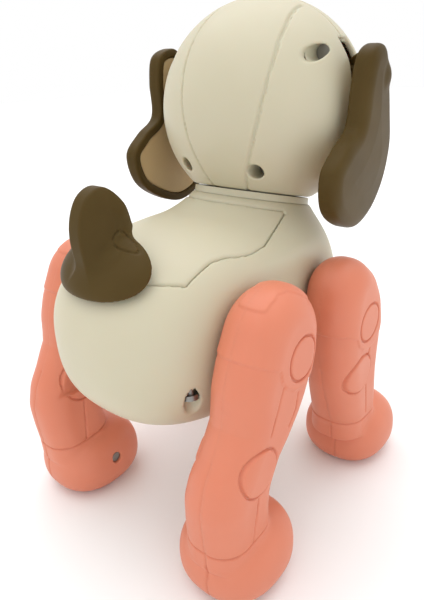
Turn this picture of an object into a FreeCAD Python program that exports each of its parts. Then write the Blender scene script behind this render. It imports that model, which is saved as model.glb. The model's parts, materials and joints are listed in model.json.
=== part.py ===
import FreeCAD, Part
import math
import os
import Sketcher
from FreeCAD import Placement, Rotation, Vector

# Robot dog toy. The dog faces -Y, stands on z = 0 and has its left side at +X.
# Millimetres throughout.

PARTS_FOLDER = "parts"
ORIGIN = Vector(0, 0, 0)
X_AXIS = Vector(1, 0, 0)
Y_AXIS = Vector(0, 1, 0)
Z_AXIS = Vector(0, 0, 1)
SIDES = {"left": 1, "right": -1}
ENDS = {"front": -1, "rear": 1}

doc = FreeCAD.newDocument("robot_dog")

# ---------------------------------------------------------------- driving dimensions
SIZES = {
    # whole dog
    "stance_shift": 3.5,
    "wall": 2.2,
    "running_gap": 0.08,
    "seam_gap": 0.3,
    # head, measured from its centre
    "head_radius": 41.4,
    "head_y": -33,
    "head_z": 158.6,
    "head_half_width": 39,
    "head_turned": 6,
    "head_groove_width": 0.7,
    "head_groove_depth": 0.6,
    "head_screw_low_x": 15.5,
    "head_screw_low_z": -18.4,
    "head_screw_high_x": 29.8,
    "head_screw_high_z": 21.1,
    "head_screw_depth": 11,
    "head_screw_reach": 9,
    # neck, measured along its tilted axis down from the head's centre
    "neck_tilt": 14.5,
    "neck_floor": 33.2,
    "neck_gap": 0.4,
    "collar_radius": 24.4,
    "collar_thickness": 2.6,
    "neck_bearing_radius": 13.7,
    "neck_stem_radius": 9.9,
    "neck_bore_radius": 7,
    "neck_flange_radius": 17,
    "neck_flange_thickness": 1.7,
    # face
    "visor_half_width": 27,
    "visor_half_height": 16,
    "visor_z": 9,
    "visor_thickness": 1.6,
    "eye_radius": 7,
    "eye_x": 12.5,
    "eye_depth": 7.4,
    "eye_z": 9,
    "muzzle_half_width": 17,
    "muzzle_half_depth": 14,
    "muzzle_half_height": 11.5,
    "muzzle_y": -33.5,
    "muzzle_z": -14,
    # ears
    "ear_pin_radius": 1.5,
    "ear_pin_x": 30,
    "ear_pin_z": 13,
    "ear_eye_radius": 3.4,
    "ear_inner_x": 42.6,
    "ear_outer_x": 50.6,
    "ear_lean": 0.04,
    "ear_arm_half_height": 2.2,
    "ear_eye_start_y": 2.8,
    "ear_eye_end_y": 13.2,
    "ear_slot_inner_x": 31,
    "ear_slot_start_y": 2.2,
    "ear_slot_end_y": 13.8,
    "ear_slot_low_z": 9.6,
    "ear_slot_high_z": 25.8,
    # body
    "body_half_width": 36,
    "body_power": 2.6,
    "body_mid_z": 88,
    "post_radius": 3.2,
    "post_rear_foot_x": 31,
    "post_rear_foot_y": 53,
    "post_rear_foot_z": 72,
    "post_rear_top_x": 21,
    "post_rear_top_y": 48.5,
    "post_rear_top_z": 115,
    "post_front_x": 23.5,
    "post_front_y": 1,
    "post_split_z": 84,
    "screw_radius": 1.5,
    "screw_head_radius": 2.7,
    "screw_head_height": 1.8,
    # tail
    "tail_half_thickness": 7,
    "tail_stem_radius": 6.5,
    "tail_clearance": 2,
    "tail_foot_half_width": 20,
    "tail_foot_half_height": 13,
    "tail_foot_y": 56.5,
    "tail_foot_z": 112,
    "tail_pin_radius": 2,
    "rump_y": 33.3,
    "rump_z": 88.5,
    "rump_radius": 39.8,
    "tail_lean": 31.5,
    # hips and legs
    "hip_front_y": -28,
    "hip_rear_y": 30,
    "hip_z": 94,
    "hip_shaft_radius": 3,
    "hip_bearing_radius": 5,
    "leg_inner_x": 36.7,
    "leg_split_x": 46.5,
    "leg_wall": 2,
    "sole_thickness": 2.4,
    "sole_half_length": 14,
    "sole_half_width": 12.5,
    "foot_x": 43.5,
    "foot_front_y": -45,
    "foot_rear_y": 46.8,
    "foot_screw_z": 16.5,
    # gears, all of one module, with parallel axles along X
    "gear_module": 0.8,
    "gear_backlash": 0.16,
    "teeth_left_hip": 24,
    "teeth_right_hip": 20,
    "teeth_lay_left": 12,
    "teeth_lay_right": 10,
    "teeth_lay_middle": 24,
    "teeth_idler": 12,
    "teeth_motor": 10,
    "gear_inner_x": 4,
    "gear_outer_x": 8,
    "middle_gear_half_width": 1.5,
    "lay_radius": 1.5,
    "idler_pin_radius": 1.2,
    "motor_slant": 35,
    "motor_radius": 6,
    "motor_inner_x": 3.2,
    "motor_outer_x": 20,
    "motor_shaft_radius": 0.8,
    "case_half_width": 12,
    "case_wall": 1.6,
    # things inside and under the body
    "cell_radius": 6.2,
    "cell_length": 34,
    "cell_spacing": 12,
    "cell_y": -5.2,
    "cell_z": 63,
    "door_half_width": 18,
    "door_length": 22,
    "door_y": -10,
    "board_width": 40,
    "board_length": 38,
    "board_thickness": 1.6,
    "board_y": -18,
    "board_z": 107,
    "speaker_radius": 9,
    "speaker_depth": 5,
    "speaker_y": -50.5,
    "speaker_z": 84,
    "switch_y": 25,
    "switch_half_width": 1.9,
    "switch_length": 4.6,
    "switch_travel": 3,
    "switch_z": 46.9,
    "socket_y": 38.5,
    "socket_half_width": 4.5,
    "socket_depth": 4,
    "socket_z": 49.6,
}

sheet = doc.addObject("Spreadsheet::Sheet", "sizes")
for row, (alias, number) in enumerate(SIZES.items(), start=1):
    sheet.set(f"A{row}", alias)
    sheet.set(f"B{row}", str(number))
    sheet.setAlias(f"B{row}", alias)
doc.recompute()


def size(alias):
    return float(sheet.get(alias))


WALL = size("wall")
GAP = size("seam_gap")
HEAD_CENTRE = Vector(0, size("head_y"), size("head_z"))
NECK_TILT = math.radians(size("neck_tilt"))
NECK_UP = Vector(0, -math.sin(NECK_TILT), math.cos(NECK_TILT))
RUMP_CENTRE = Vector(0, size("rump_y"), size("rump_z"))
TAIL_LEAN = math.radians(size("tail_lean"))
TAIL_AXIS = Vector(0, math.sin(TAIL_LEAN), math.cos(TAIL_LEAN))
DOG_PLACE = Placement(Vector(0, size("stance_shift"), 0), Rotation())
HEAD_PLACE = DOG_PLACE * Placement(HEAD_CENTRE, Rotation(NECK_UP, size("head_turned")))

subparts = []


# ---------------------------------------------------------------- shape helpers
def add_feature(name, shape, placement=DOG_PLACE):
    """Add a sub-part whose free-form shape no primitive or sketch can make."""
    feature = doc.addObject("Part::Feature", name)
    feature.Shape = shape
    feature.Placement = placement
    feature.Label = name
    subparts.append(feature)
    return feature


def cylinder(radius, start, end):
    direction = end - start
    return Part.makeCylinder(radius, direction.Length, start, direction)


def tube(outer, inner, start, end):
    return cylinder(outer, start, end).cut(cylinder(inner, start, end))


def box(low, high):
    return Part.makeBox(high.x - low.x, high.y - low.y, high.z - low.z, low)


def mirrored(shape, side):
    """A shape drawn on the dog's left, moved to the given side."""
    return shape if side > 0 else shape.mirror(ORIGIN, X_AXIS)


def closed_curve(points):
    curve = Part.BSplineCurve()
    curve.interpolate(Points=points, PeriodicFlag=True)
    return Part.Wire([curve.toShape()])


def oval(count, power, to_point):
    """A closed curve through a superellipse's points, placed by to_point(u, v)."""
    points = []
    for index in range(count):
        angle = 2 * math.pi * index / count
        along, across = math.cos(angle), math.sin(angle)
        points.append(to_point(math.copysign(abs(along) ** (2 / power), along),
                               math.copysign(abs(across) ** (2 / power), across)))
    return closed_curve(points)


def loft(wires):
    return Part.makeLoft(wires, True, False)


def ellipsoid(centre, half_x, half_y, half_z):
    matrix = FreeCAD.Matrix()
    matrix.scale(half_x, half_y, half_z)
    solid = Part.makeSphere(1).transformGeometry(matrix)
    solid.translate(centre)
    return solid


def fused(shapes):
    result = shapes[0]
    for shape in shapes[1:]:
        result = result.fuse(shape)
    return result.removeSplitter()


def first_on_line(shape, start, end):
    """Where a line from start to end first meets the shape."""
    probe = Part.makeLine(start, end).common(shape)
    return min((vertex.Point for vertex in probe.Vertexes), key=start.distanceToPoint)


def biggest(shape):
    """The largest solid of a cut, without the crumbs beside it."""
    return max(shape.Solids, key=lambda solid: solid.Volume)


# ---------------------------------------------------------------- spur gears
def gear_phase(from_teeth, from_phase, to_teeth, direction):
    """Phase of the driven gear so that its gaps meet the driver's teeth."""
    from_pitch = 2 * math.pi / from_teeth
    to_pitch = 2 * math.pi / to_teeth
    share = (direction - from_phase) / from_pitch
    return direction + math.pi - (0.5 - share) * to_pitch


def gear_blank(teeth, phase, centre, start_x, end_x):
    """An involute spur gear about X; a tooth's middle is at the phase angle from Y."""
    module = size("gear_module")
    pitch_radius = module * teeth / 2
    base_radius = pitch_radius * math.cos(math.radians(20))
    tip_radius = pitch_radius + 0.95 * module
    root_radius = pitch_radius - 1.2 * module
    half_tooth = (math.pi * module / 2 - size("gear_backlash")) / 2 / pitch_radius

    def involute(radius):
        pressure = math.acos(base_radius / radius)
        return math.tan(pressure) - pressure

    at_pitch = involute(pitch_radius)
    low_radius = max(base_radius, root_radius)
    flank = []
    for step in range(5):
        radius = low_radius + (tip_radius - low_radius) * step / 4
        flank.append((radius, half_tooth + at_pitch - involute(radius)))
    profile = [(root_radius, flank[0][1])] + flank
    outline = []
    for tooth in range(teeth):
        middle = phase + 2 * math.pi * tooth / teeth
        for radius, half in profile:
            outline.append((radius, middle - half))
        for radius, half in reversed(profile):
            outline.append((radius, middle + half))
    corners = [Vector(start_x, centre.y + r * math.cos(a), centre.z + r * math.sin(a))
               for r, a in outline]
    face = Part.Face(Part.makePolygon(corners + corners[:1]))
    return face.extrude(Vector(end_x - start_x, 0, 0))


# ---------------------------------------------------------------- head
def neck_point(down):
    """A point of the neck's axis, in the head's frame, below the head's centre."""
    return NECK_UP * -down


def below_neck(down):
    """Everything lower than a plane across the neck's axis, in the head's frame."""
    return cylinder(60, neck_point(down), neck_point(down + 80))


def head_ball(radius, half_width, floor):
    ball = Part.makeSphere(radius)
    ball = ball.common(box(Vector(-half_width, -60, -60), Vector(half_width, 60, 60)))
    return ball.cut(below_neck(floor))


def half_space_y(side):
    return box(Vector(-80, 0, -80), Vector(80, 80, 80)) if side > 0 \
        else box(Vector(-80, -80, -80), Vector(80, 0, 80))


def muzzle(grow):
    return ellipsoid(Vector(0, size("muzzle_y"), size("muzzle_z")), size("muzzle_half_width") + grow,
                     size("muzzle_half_depth") + grow, size("muzzle_half_height") + grow)


def visor_prism(grow):
    """An oval prism through the face, along Y."""
    half_width = size("visor_half_width") + grow
    half_height = size("visor_half_height") + grow

    def to_point(u, v):
        return Vector(half_width * u, -60, size("visor_z") + half_height * v)

    return Part.Face(oval(24, 2.6, to_point)).extrude(Vector(0, 50, 0))


def head_screw_places():
    return [(side * size("head_screw_low_x"), size("head_screw_low_z")) for side in SIDES.values()] + \
           [(side * size("head_screw_high_x"), size("head_screw_high_z")) for side in SIDES.values()]


def surface_y(radius, x, z):
    return math.sqrt(radius ** 2 - x ** 2 - z ** 2)


def head_seam(side):
    """A thin slanted slab whose trace is one of the two grooves down the head's back."""
    half = size("head_groove_width") / 2
    foot = Vector(side * 8.2, 0, -36)
    top = Vector(side * 21.6, 0, 36)
    along = (top - foot).normalize()
    across = Vector(along.z, 0, -along.x) * half
    corners = [foot - across, foot + across, top + across, top - across]
    slab = Part.Face(Part.makePolygon(corners + corners[:1])).extrude(Vector(0, 60, 0))
    radius = size("head_radius")
    rind = Part.makeSphere(radius + 1).cut(Part.makeSphere(radius - size("head_groove_depth")))
    return slab.common(rind)


def make_head():
    radius = size("head_radius")
    floor = size("neck_floor")
    outer = head_ball(radius, size("head_half_width"), floor).fuse(muzzle(0).cut(below_neck(floor)))
    cavity = head_ball(radius - WALL, size("head_half_width") - WALL, floor - WALL)
    bore = cylinder(size("neck_bearing_radius") + size("running_gap"), neck_point(floor - 6),
                    neck_point(floor + 3))
    shell = outer.cut(cavity).cut(muzzle(-WALL)).cut(bore)
    back = shell.common(half_space_y(1))
    front = shell.common(half_space_y(-1))

    shank = size("screw_radius")
    reach = size("head_screw_reach")
    screws = []
    for x, z in head_screw_places():
        wall_y = surface_y(radius, x, z)
        seat_y = wall_y - size("head_screw_depth")
        back = back.fuse(cylinder(3.6, Vector(x, GAP, z), Vector(x, wall_y, z))
                         .common(Part.makeSphere(radius)))
        back = back.cut(cylinder(size("screw_head_radius") + 0.2, Vector(x, seat_y, z),
                                 Vector(x, wall_y + 4, z)))
        back = back.cut(cylinder(shank, Vector(x, -1, z), Vector(x, wall_y, z)))
        front = front.fuse(cylinder(3.2, Vector(x, -GAP, z), Vector(x, -wall_y, z))
                           .common(Part.makeSphere(radius - WALL / 2)))
        front = front.cut(cylinder(shank, Vector(x, -reach, z), Vector(x, 1, z)))
        screws.append(cylinder(size("screw_head_radius"), Vector(x, seat_y, z),
                               Vector(x, seat_y + size("screw_head_height"), z))
                      .fuse(cylinder(shank, Vector(x, -reach, z), Vector(x, seat_y, z))))

    pin_z = size("ear_pin_z")
    for side in SIDES.values():
        x = side * size("ear_pin_x")
        wall_y = surface_y(radius, x, pin_z)
        ball = Part.makeSphere(radius - WALL / 2)
        back = back.fuse(cylinder(3.2, Vector(x, 13.6, pin_z), Vector(x, wall_y, pin_z)).common(ball))
        front = front.fuse(cylinder(3.2, Vector(x, -GAP, pin_z), Vector(x, -wall_y, pin_z)).common(ball))
        pin_hole = cylinder(size("ear_pin_radius"), Vector(x, -5, pin_z), Vector(x, 17, pin_z))
        back = back.cut(pin_hole)
        front = front.cut(pin_hole)
        slot_ends = sorted((side * size("ear_slot_inner_x"), side * (radius + 1)))
        slot = box(Vector(slot_ends[0], size("ear_slot_start_y"), size("ear_slot_low_z")),
                   Vector(slot_ends[1], size("ear_slot_end_y"), size("ear_slot_high_z")))
        back = back.cut(slot)
        back = back.cut(head_seam(side))

    rind = Part.makeSphere(radius).cut(Part.makeSphere(radius - size("visor_thickness")))
    visor = rind.common(visor_prism(0)).common(half_space_y(-1))
    front = front.cut(Part.makeSphere(radius + 1).cut(Part.makeSphere(radius - size("visor_thickness")))
                      .common(visor_prism(0.1)).common(half_space_y(-1)))
    lenses = []
    for side in SIDES.values():
        x, z = side * size("eye_x"), size("eye_z")
        face_y = -surface_y(radius, x, z)
        hole = cylinder(size("eye_radius"), Vector(x, face_y - 3, z), Vector(x, face_y + 8, z))
        visor = visor.cut(hole)
        front = front.cut(hole)
        lens = cylinder(size("eye_radius"), Vector(x, face_y - 2, z), Vector(x, face_y + size("eye_depth"), z))
        lenses.append(lens.common(Part.makeSphere(radius + 0.4)))
    nose_y = size("muzzle_y") - size("muzzle_half_depth")
    nose = ellipsoid(Vector(0, nose_y + 3, size("muzzle_z") + 6.5), 5.4, 4.2, 3.4)
    visor = visor.cut(muzzle(0.1)).cut(nose)
    front = front.cut(nose)

    board_y = -surface_y(radius, size("eye_x"), size("eye_z")) + size("eye_depth")
    board = box(Vector(-15, board_y, 4), Vector(15, board_y + 1.2, 14))
    board = board.fuse(box(Vector(-3, board_y + 1.2, 5), Vector(3, board_y + 3, 12)))

    add_feature("head_back_shell", biggest(back.removeSplitter()), HEAD_PLACE)
    add_feature("head_front_shell", biggest(front), HEAD_PLACE)
    add_feature("face_visor", biggest(visor), HEAD_PLACE)
    add_feature("eye_lenses", Part.makeCompound(lenses), HEAD_PLACE)
    add_feature("eye_light_board", board, HEAD_PLACE)
    add_feature("nose", nose, HEAD_PLACE)
    add_feature("head_screws", Part.makeCompound(screws), HEAD_PLACE)


# ---------------------------------------------------------------- ears
EAR_MIDDLE = (5, -12)
EAR_OUTLINE = [(6.4, 23.5), (13.2, 20), (15.6, 10.1), (16.2, -3), (26.5, -9.2), (35, -17), (31.8, -29.5),
               (20, -37.8), (5.4, -42.1), (-9.4, -38), (-19, -27), (-20.8, -12.5), (-14.2, 1.4), (-6.5, 14.3),
               (0, 22.6)]


def ear_outline(scale, x):
    """The drooping ear's outline in Y and Z, scaled about its own middle, at x near the pin."""
    points = []
    for y, z in EAR_OUTLINE:
        scaled_y = EAR_MIDDLE[0] + (y - EAR_MIDDLE[0]) * scale
        scaled_z = EAR_MIDDLE[1] + (z - EAR_MIDDLE[1]) * scale
        points.append(Vector(x + size("ear_lean") * (scaled_z - size("ear_pin_z")), scaled_y, scaled_z))
    return closed_curve(points)


def make_ears():
    inner, outer = size("ear_inner_x"), size("ear_outer_x")
    depth = outer - inner
    stations = [(0, 0.97), (0.1, 0.995), (0.3, 1), (0.6, 0.995), (0.8, 0.94), (0.93, 0.87), (1, 0.76)]
    body = loft([ear_outline(scale, inner + depth * share) for share, scale in stations])
    lining = loft([ear_outline(0.83, inner - 0.4), ear_outline(0.85, inner + 0.2),
                   ear_outline(0.85, inner + 1.5)])
    pin_x, pin_z = size("ear_pin_x"), size("ear_pin_z")
    eye_start, eye_end = size("ear_eye_start_y"), size("ear_eye_end_y")
    arm_half = size("ear_arm_half_height")
    eye = cylinder(size("ear_eye_radius"), Vector(pin_x, eye_start, pin_z), Vector(pin_x, eye_end, pin_z))
    arm = box(Vector(pin_x, eye_start, pin_z - arm_half), Vector(inner + 3, eye_end, pin_z + arm_half))
    bore = cylinder(size("ear_pin_radius") + size("running_gap"), Vector(pin_x, 0, pin_z),
                    Vector(pin_x, 20, pin_z))
    lining = lining.cut(arm)
    shell = body.fuse(eye).fuse(arm).cut(bore).cut(lining)
    pin = cylinder(size("ear_pin_radius"), Vector(pin_x, -5, pin_z), Vector(pin_x, 17, pin_z))
    for name, side in SIDES.items():
        add_feature(name + "_ear_shell", mirrored(biggest(shell), side), HEAD_PLACE)
        add_feature(name + "_ear_lining", mirrored(biggest(lining), side), HEAD_PLACE)
        add_feature(name + "_ear_pin", mirrored(pin, side), HEAD_PLACE)


# ---------------------------------------------------------------- body
BODY_STATIONS = [
    # y, half width, top, bottom
    (-57.4, 3, 90, 84),
    (-56, 10.5, 97, 77),
    (-52, 20.5, 105, 69),
    (-44, 30.5, 113, 60.5),
    (-31, 37, 119, 54),
    (-14, 39.2, 122.5, 51),
    (8, 39.5, 124, 49.3),
    (28, 40, 124.5, 48.7),
    (45, 38, 123, 50.5),
    (58, 32, 116.5, 57.5),
    (66, 24, 108, 66),
    (71, 14.5, 99.5, 76),
    (73.2, 4, 91, 85),
]


def body_solid(shrink):
    """The bean-shaped torso, its half sizes reduced by shrink."""
    middle_z = size("body_mid_z")
    middle_y = (BODY_STATIONS[0][0] + BODY_STATIONS[-1][0]) / 2
    length_share = 1 - shrink / (BODY_STATIONS[-1][0] - middle_y)
    share = 1 - shrink / 38
    wires = []
    for y, half_width, top, bottom in BODY_STATIONS:
        def to_point(u, v, y=y, half_width=half_width, top=top, bottom=bottom):
            rise = (top - middle_z) * v if v > 0 else (middle_z - bottom) * v
            return Vector(half_width * share * u, middle_y + (y - middle_y) * length_share,
                          middle_z + rise * share)

        wires.append(oval(24, size("body_power"), to_point))
    half = size("body_half_width") - shrink
    return loft(wires).common(box(Vector(-half, -90, 0), Vector(half, 90, 200)))


def neck_world(down):
    return HEAD_CENTRE - NECK_UP * down


def cover_prism(grow):
    """The upright prism whose outline in plan is the back cover's edge."""
    half_outline = [(24.4, -14), (27.6, 0.5), (30, 10), (30.2, 18), (29.2, 24), (27.4, 28.8), (26.2, 35),
                    (26.4, 47.6), (22, 52.6), (17, 56.6), (13.5, 64)]
    prism_foot = 93
    left = [Vector(x + grow, y, prism_foot) for x, y in half_outline]
    left[-1] = left[-1] + Vector(0, grow, 0)
    right = [Vector(-point.x, point.y, point.z) for point in reversed(left)]
    start = Vector(0, -16, prism_foot)
    prism = Part.Face(Part.makePolygon([start] + left + right + [start])).extrude(Vector(0, 0, 60))
    neck = cylinder(size("collar_radius") + 2.6 - grow, neck_world(20), neck_world(80))
    return prism.cut(neck)


def body_post_lines():
    """The lines, from foot to top, of the four screw posts that join belly and cover."""
    lines = []
    for side in SIDES.values():
        rear_foot = Vector(side * size("post_rear_foot_x"), size("post_rear_foot_y"), size("post_rear_foot_z"))
        rear_top = Vector(side * size("post_rear_top_x"), size("post_rear_top_y"), size("post_rear_top_z"))
        front = Vector(side * size("post_front_x"), size("post_front_y"), 0)
        lines.append((rear_foot, rear_top))
        lines.append((front + Z_AXIS * 50, front + Z_AXIS * 120))
    return lines


def make_body():
    collar_foot = size("neck_floor") + size("neck_gap") + size("collar_thickness")
    outer = body_solid(0)
    flare = Part.makeCone(size("collar_radius"), 37, 26, neck_world(collar_foot), NECK_UP * -1)
    half = size("body_half_width")
    flare = flare.common(box(Vector(-half, -90, 70), Vector(half, 90, 200)))
    above_neck = cylinder(60, neck_world(collar_foot), neck_world(collar_foot - 80))
    outer = outer.fuse(flare).cut(above_neck)
    cavity = body_solid(WALL)
    stem_hole = cylinder(size("neck_stem_radius") + 0.1, neck_world(collar_foot - 4),
                         neck_world(collar_foot + 12))
    shell = outer.cut(cavity).cut(stem_hole)

    cover = shell.common(cover_prism(0))
    belly = shell.cut(cover_prism(GAP))

    split_z = size("post_split_z")
    radius = size("post_radius")
    screws = []
    for foot, top in body_post_lines():
        along = (top - foot).normalize()
        column = cylinder(radius, foot - along * 20, top + along * 20).common(body_solid(WALL / 2))
        belly = belly.fuse(column.common(box(Vector(-90, -90, 0), Vector(90, 90, split_z))))
        cover = cover.fuse(column.common(box(Vector(-90, -90, split_z + GAP), Vector(90, 90, 200))))
        seat = first_on_line(column, foot - along * 20, top) + along * 5
        tip = seat + along * ((split_z + 12 - seat.z) / along.z)
        belly = belly.cut(cylinder(size("screw_head_radius") + 0.2, foot - along * 20, seat))
        shank = cylinder(size("screw_radius"), seat, tip)
        belly = belly.cut(shank)
        cover = cover.cut(shank)
        head = cylinder(size("screw_head_radius"), seat - along * size("screw_head_height"), seat)
        screws.append(head.fuse(shank))

    for hip_y in (size("hip_front_y"), size("hip_rear_y")):
        axle = Vector(0, hip_y, size("hip_z"))
        belly = belly.cut(cylinder(size("hip_bearing_radius"), axle - X_AXIS * 50, axle + X_AXIS * 50))

    tail_socket = cylinder(size("tail_stem_radius") + 0.5, RUMP_CENTRE + TAIL_AXIS * 30,
                           RUMP_CENTRE + TAIL_AXIS * 50)
    bridge = cylinder(size("tail_stem_radius") + 2.5, RUMP_CENTRE + TAIL_AXIS * 29.5,
                      RUMP_CENTRE + TAIL_AXIS * 37.5).common(body_solid(WALL / 2))
    pin_hole = cylinder(size("tail_pin_radius") + size("running_gap"), RUMP_CENTRE + TAIL_AXIS * 20,
                        RUMP_CENTRE + TAIL_AXIS * 50)
    socket_cut = cylinder(size("tail_stem_radius") + 0.5, RUMP_CENTRE + TAIL_AXIS * 31.5,
                          RUMP_CENTRE + TAIL_AXIS * 50)
    cover = cover.cut(tail_socket).fuse(bridge).cut(socket_cut).cut(pin_hole)
    belly = belly.cut(bridge.common(cover_prism(GAP)))

    door_low = Vector(-size("door_half_width"), size("door_y"), 40)
    door_high = Vector(size("door_half_width"), size("door_y") + size("door_length"), 62)
    grow = Vector(GAP, GAP, 0)
    door = belly.common(box(door_low, door_high))
    belly = belly.cut(box(door_low - grow, door_high + grow))
    ledge = box(door_low - Vector(2, 2, 0), door_high + Vector(2, 2, 0))
    opening = box(door_low + Vector(1.5, 1.5, 0), door_high - Vector(1.5, 1.5, 0))
    rim = ledge.cut(opening).common(body_solid(WALL + 0.05)).cut(body_solid(WALL + 1.4))
    belly = belly.fuse(rim)
    door_screw_y = size("door_y") + 3
    door_screw = Vector(0, door_screw_y, 0)
    door_bottom = first_on_line(door, door_screw + Z_AXIS * 20, door_screw + Z_AXIS * 80).z
    screw_hole = cylinder(1.1, door_screw + Z_AXIS * 40, door_screw + Z_AXIS * (door_bottom + 8))
    door_seat = cylinder(2.2, door_screw + Z_AXIS * 40, door_screw + Z_AXIS * (door_bottom + 1.4))
    door = door.cut(screw_hole).cut(door_seat)
    belly = belly.cut(screw_hole)
    door_screw_solid = cylinder(2.1, door_screw + Z_AXIS * (door_bottom + 0.2),
                                door_screw + Z_AXIS * (door_bottom + 1.4)) \
        .fuse(cylinder(1.1, door_screw + Z_AXIS * (door_bottom + 1.4), door_screw + Z_AXIS * (door_bottom + 4)))

    switch_y = size("switch_y")
    slot_half = size("switch_half_width") + GAP
    switch_slot = box(Vector(-slot_half, switch_y - GAP, 40),
                      Vector(slot_half, switch_y + size("switch_length") + size("switch_travel") + GAP, 58))
    socket_half, socket_depth = size("socket_half_width"), size("socket_depth")
    socket_hole = box(Vector(-socket_half, size("socket_y"), 40),
                      Vector(socket_half, size("socket_y") + socket_depth, 58))
    belly = belly.cut(switch_slot).cut(socket_hole)

    grille = []
    for ring, count in ((0, 1), (3, 6), (6, 12)):
        for index in range(count):
            angle = 2 * math.pi * index / count
            hole = Vector(ring * math.cos(angle), -70, size("speaker_z") + ring * math.sin(angle))
            grille.append(cylinder(0.8, hole, hole + Y_AXIS * 20))
    speaker = Vector(0, size("speaker_y"), size("speaker_z"))
    holder = tube(size("speaker_radius") + 1.3, size("speaker_radius"), speaker - Y_AXIS * 12,
                  speaker + Y_AXIS * size("speaker_depth"))
    belly = belly.fuse(holder.common(body_solid(WALL / 2))).cut(Part.makeCompound(grille))

    add_feature("back_cover", biggest(cover.removeSplitter()))
    add_feature("belly_shell", biggest(belly.removeSplitter()))
    add_feature("body_screws", Part.makeCompound(screws))
    add_feature("battery_door", biggest(door))
    add_feature("battery_door_screw", door_screw_solid)


# ---------------------------------------------------------------- tail
def make_tail():
    middle = Vector(0, 57, 124)
    outline = [(42, 122), (46, 128), (49, 137), (56.5, 143.5), (63.5, 141.5), (67.6, 134),
               (68, 124), (64.5, 110), (54, 104), (42, 110)]
    wires = []
    half = size("tail_half_thickness")
    for share, scale in ((-1, 0.8), (-0.9, 0.9), (-0.6, 0.975), (0, 1), (0.6, 0.975), (0.9, 0.9), (1, 0.8)):
        wires.append(closed_curve([Vector(half * share, middle.y + (y - middle.y) * scale,
                                          middle.z + (z - middle.z) * scale) for y, z in outline]))
    foot = ellipsoid(Vector(0, size("tail_foot_y"), size("tail_foot_z")), size("tail_foot_half_width"),
                     size("tail_foot_half_height"), size("tail_foot_half_height"))
    clearance = size("tail_clearance")
    tail = loft(wires).fuse(foot).cut(Part.makeSphere(size("rump_radius") + clearance, RUMP_CENTRE))
    tail = tail.cut(body_solid(-clearance))
    tail = tail.fuse(cylinder(size("tail_stem_radius"), RUMP_CENTRE + TAIL_AXIS * 32,
                              RUMP_CENTRE + TAIL_AXIS * 46))
    tail = tail.cut(cylinder(size("tail_pin_radius"), RUMP_CENTRE + TAIL_AXIS * 30,
                             RUMP_CENTRE + TAIL_AXIS * 42))
    add_feature("tail_shell", biggest(tail))
    pin = cylinder(size("tail_pin_radius"), RUMP_CENTRE + TAIL_AXIS * 28.8, RUMP_CENTRE + TAIL_AXIS * 42)
    pin = pin.fuse(cylinder(4, RUMP_CENTRE + TAIL_AXIS * 27.2, RUMP_CENTRE + TAIL_AXIS * 28.8))
    add_feature("tail_pin", pin)


# ---------------------------------------------------------------- legs
# Level sections of the left legs: z, middle y past the hip, half length,
# middle x, half thickness. The boot below the ankle is the same on every leg.
REAR_LEG = [
    (31, 23.6, 14.7, 45.2, 12.1),
    (38, 24, 14.9, 45.6, 12),
    (45, 23.3, 15.9, 46, 11.8),
    (52, 20.3, 17.3, 46.4, 11.4),
    (58, 16.2, 18.6, 46.8, 11.1),
    (64, 12.2, 19, 47.2, 11.1),
    (71, 8.2, 19, 47.4, 11.2),
    (79, 5.8, 20.1, 47.4, 11.2),
    (87, 4, 20.2, 47.5, 11.1),
    (94, 2.5, 18.9, 47.5, 11.1),
    (99, 1.6, 17.3, 47.5, 11.1),
    (103, 1.4, 15.4, 47.6, 10.9),
    (106, 1.4, 13.1, 47.6, 10),
    (108.5, 1.4, 10.3, 47.6, 8.2),
    (110.2, 1.4, 7.4, 47.6, 6.2),
    (111.4, 1.4, 4.2, 47.6, 3.7),
]
FRONT_LEG = [
    (31, -4.2, 14.7, 45.2, 12.1),
    (38, -2.1, 15.5, 45.6, 12),
    (45, -0.2, 16.3, 46, 11.8),
    (52, 1.6, 17.2, 46.4, 11.4),
    (58, 2.7, 17.9, 46.8, 11.1),
    (64, 3.7, 18.4, 47.2, 11.1),
    (71, 4.7, 18.8, 47.4, 11.2),
    (79, 5.7, 18.9, 47.4, 11.2),
    (87, 6.8, 17.9, 47.5, 11.1),
    (94, 8.1, 15.6, 47.5, 11.1),
    (99, 9, 12.8, 47.5, 10.4),
    (103, 9.8, 8.9, 47.6, 8.2),
    (105.4, 10, 4.6, 47.6, 4.6),
]
BOOT = [
    # z, half length, half width
    (1, 17.5, 16.2),
    (2.6, 19.2, 18),
    (7, 21, 19.6),
    (13, 21.4, 19.9),
    (19, 20.6, 19),
    (24.5, 18.2, 16.6),
]


def leg_sections(hip_y, foot_y, upper, shrink):
    """Level ovals of one left leg from the sole to the top of the hip."""
    sections = []
    for level, half_length, half_width in BOOT:
        sections.append((level, foot_y, half_length, size("foot_x"), half_width, 2.3))
    for level, offset, half_length, middle_x, half_width in upper:
        sections.append((level, hip_y + offset, half_length, middle_x, half_width, 2.5))
    if shrink:
        lowest, highest = size("sole_thickness") + 0.8, upper[-1][0] - shrink
        sections = [(level, y, a - shrink, x, b - shrink, power)
                    for level, y, a, x, b, power in sections if lowest < level < highest]
    return sections


def leg_solid(hip_y, foot_y, upper, shrink):
    wires = []
    for level, middle_y, half_length, middle_x, half_width, power in leg_sections(hip_y, foot_y, upper, shrink):
        def to_point(u, v, level=level, middle_y=middle_y, half_length=half_length,
                     middle_x=middle_x, half_width=half_width):
            return Vector(middle_x + half_width * u, middle_y + half_length * v, level)

        wires.append(oval(20, power, to_point))
    return loft(wires)


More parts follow.
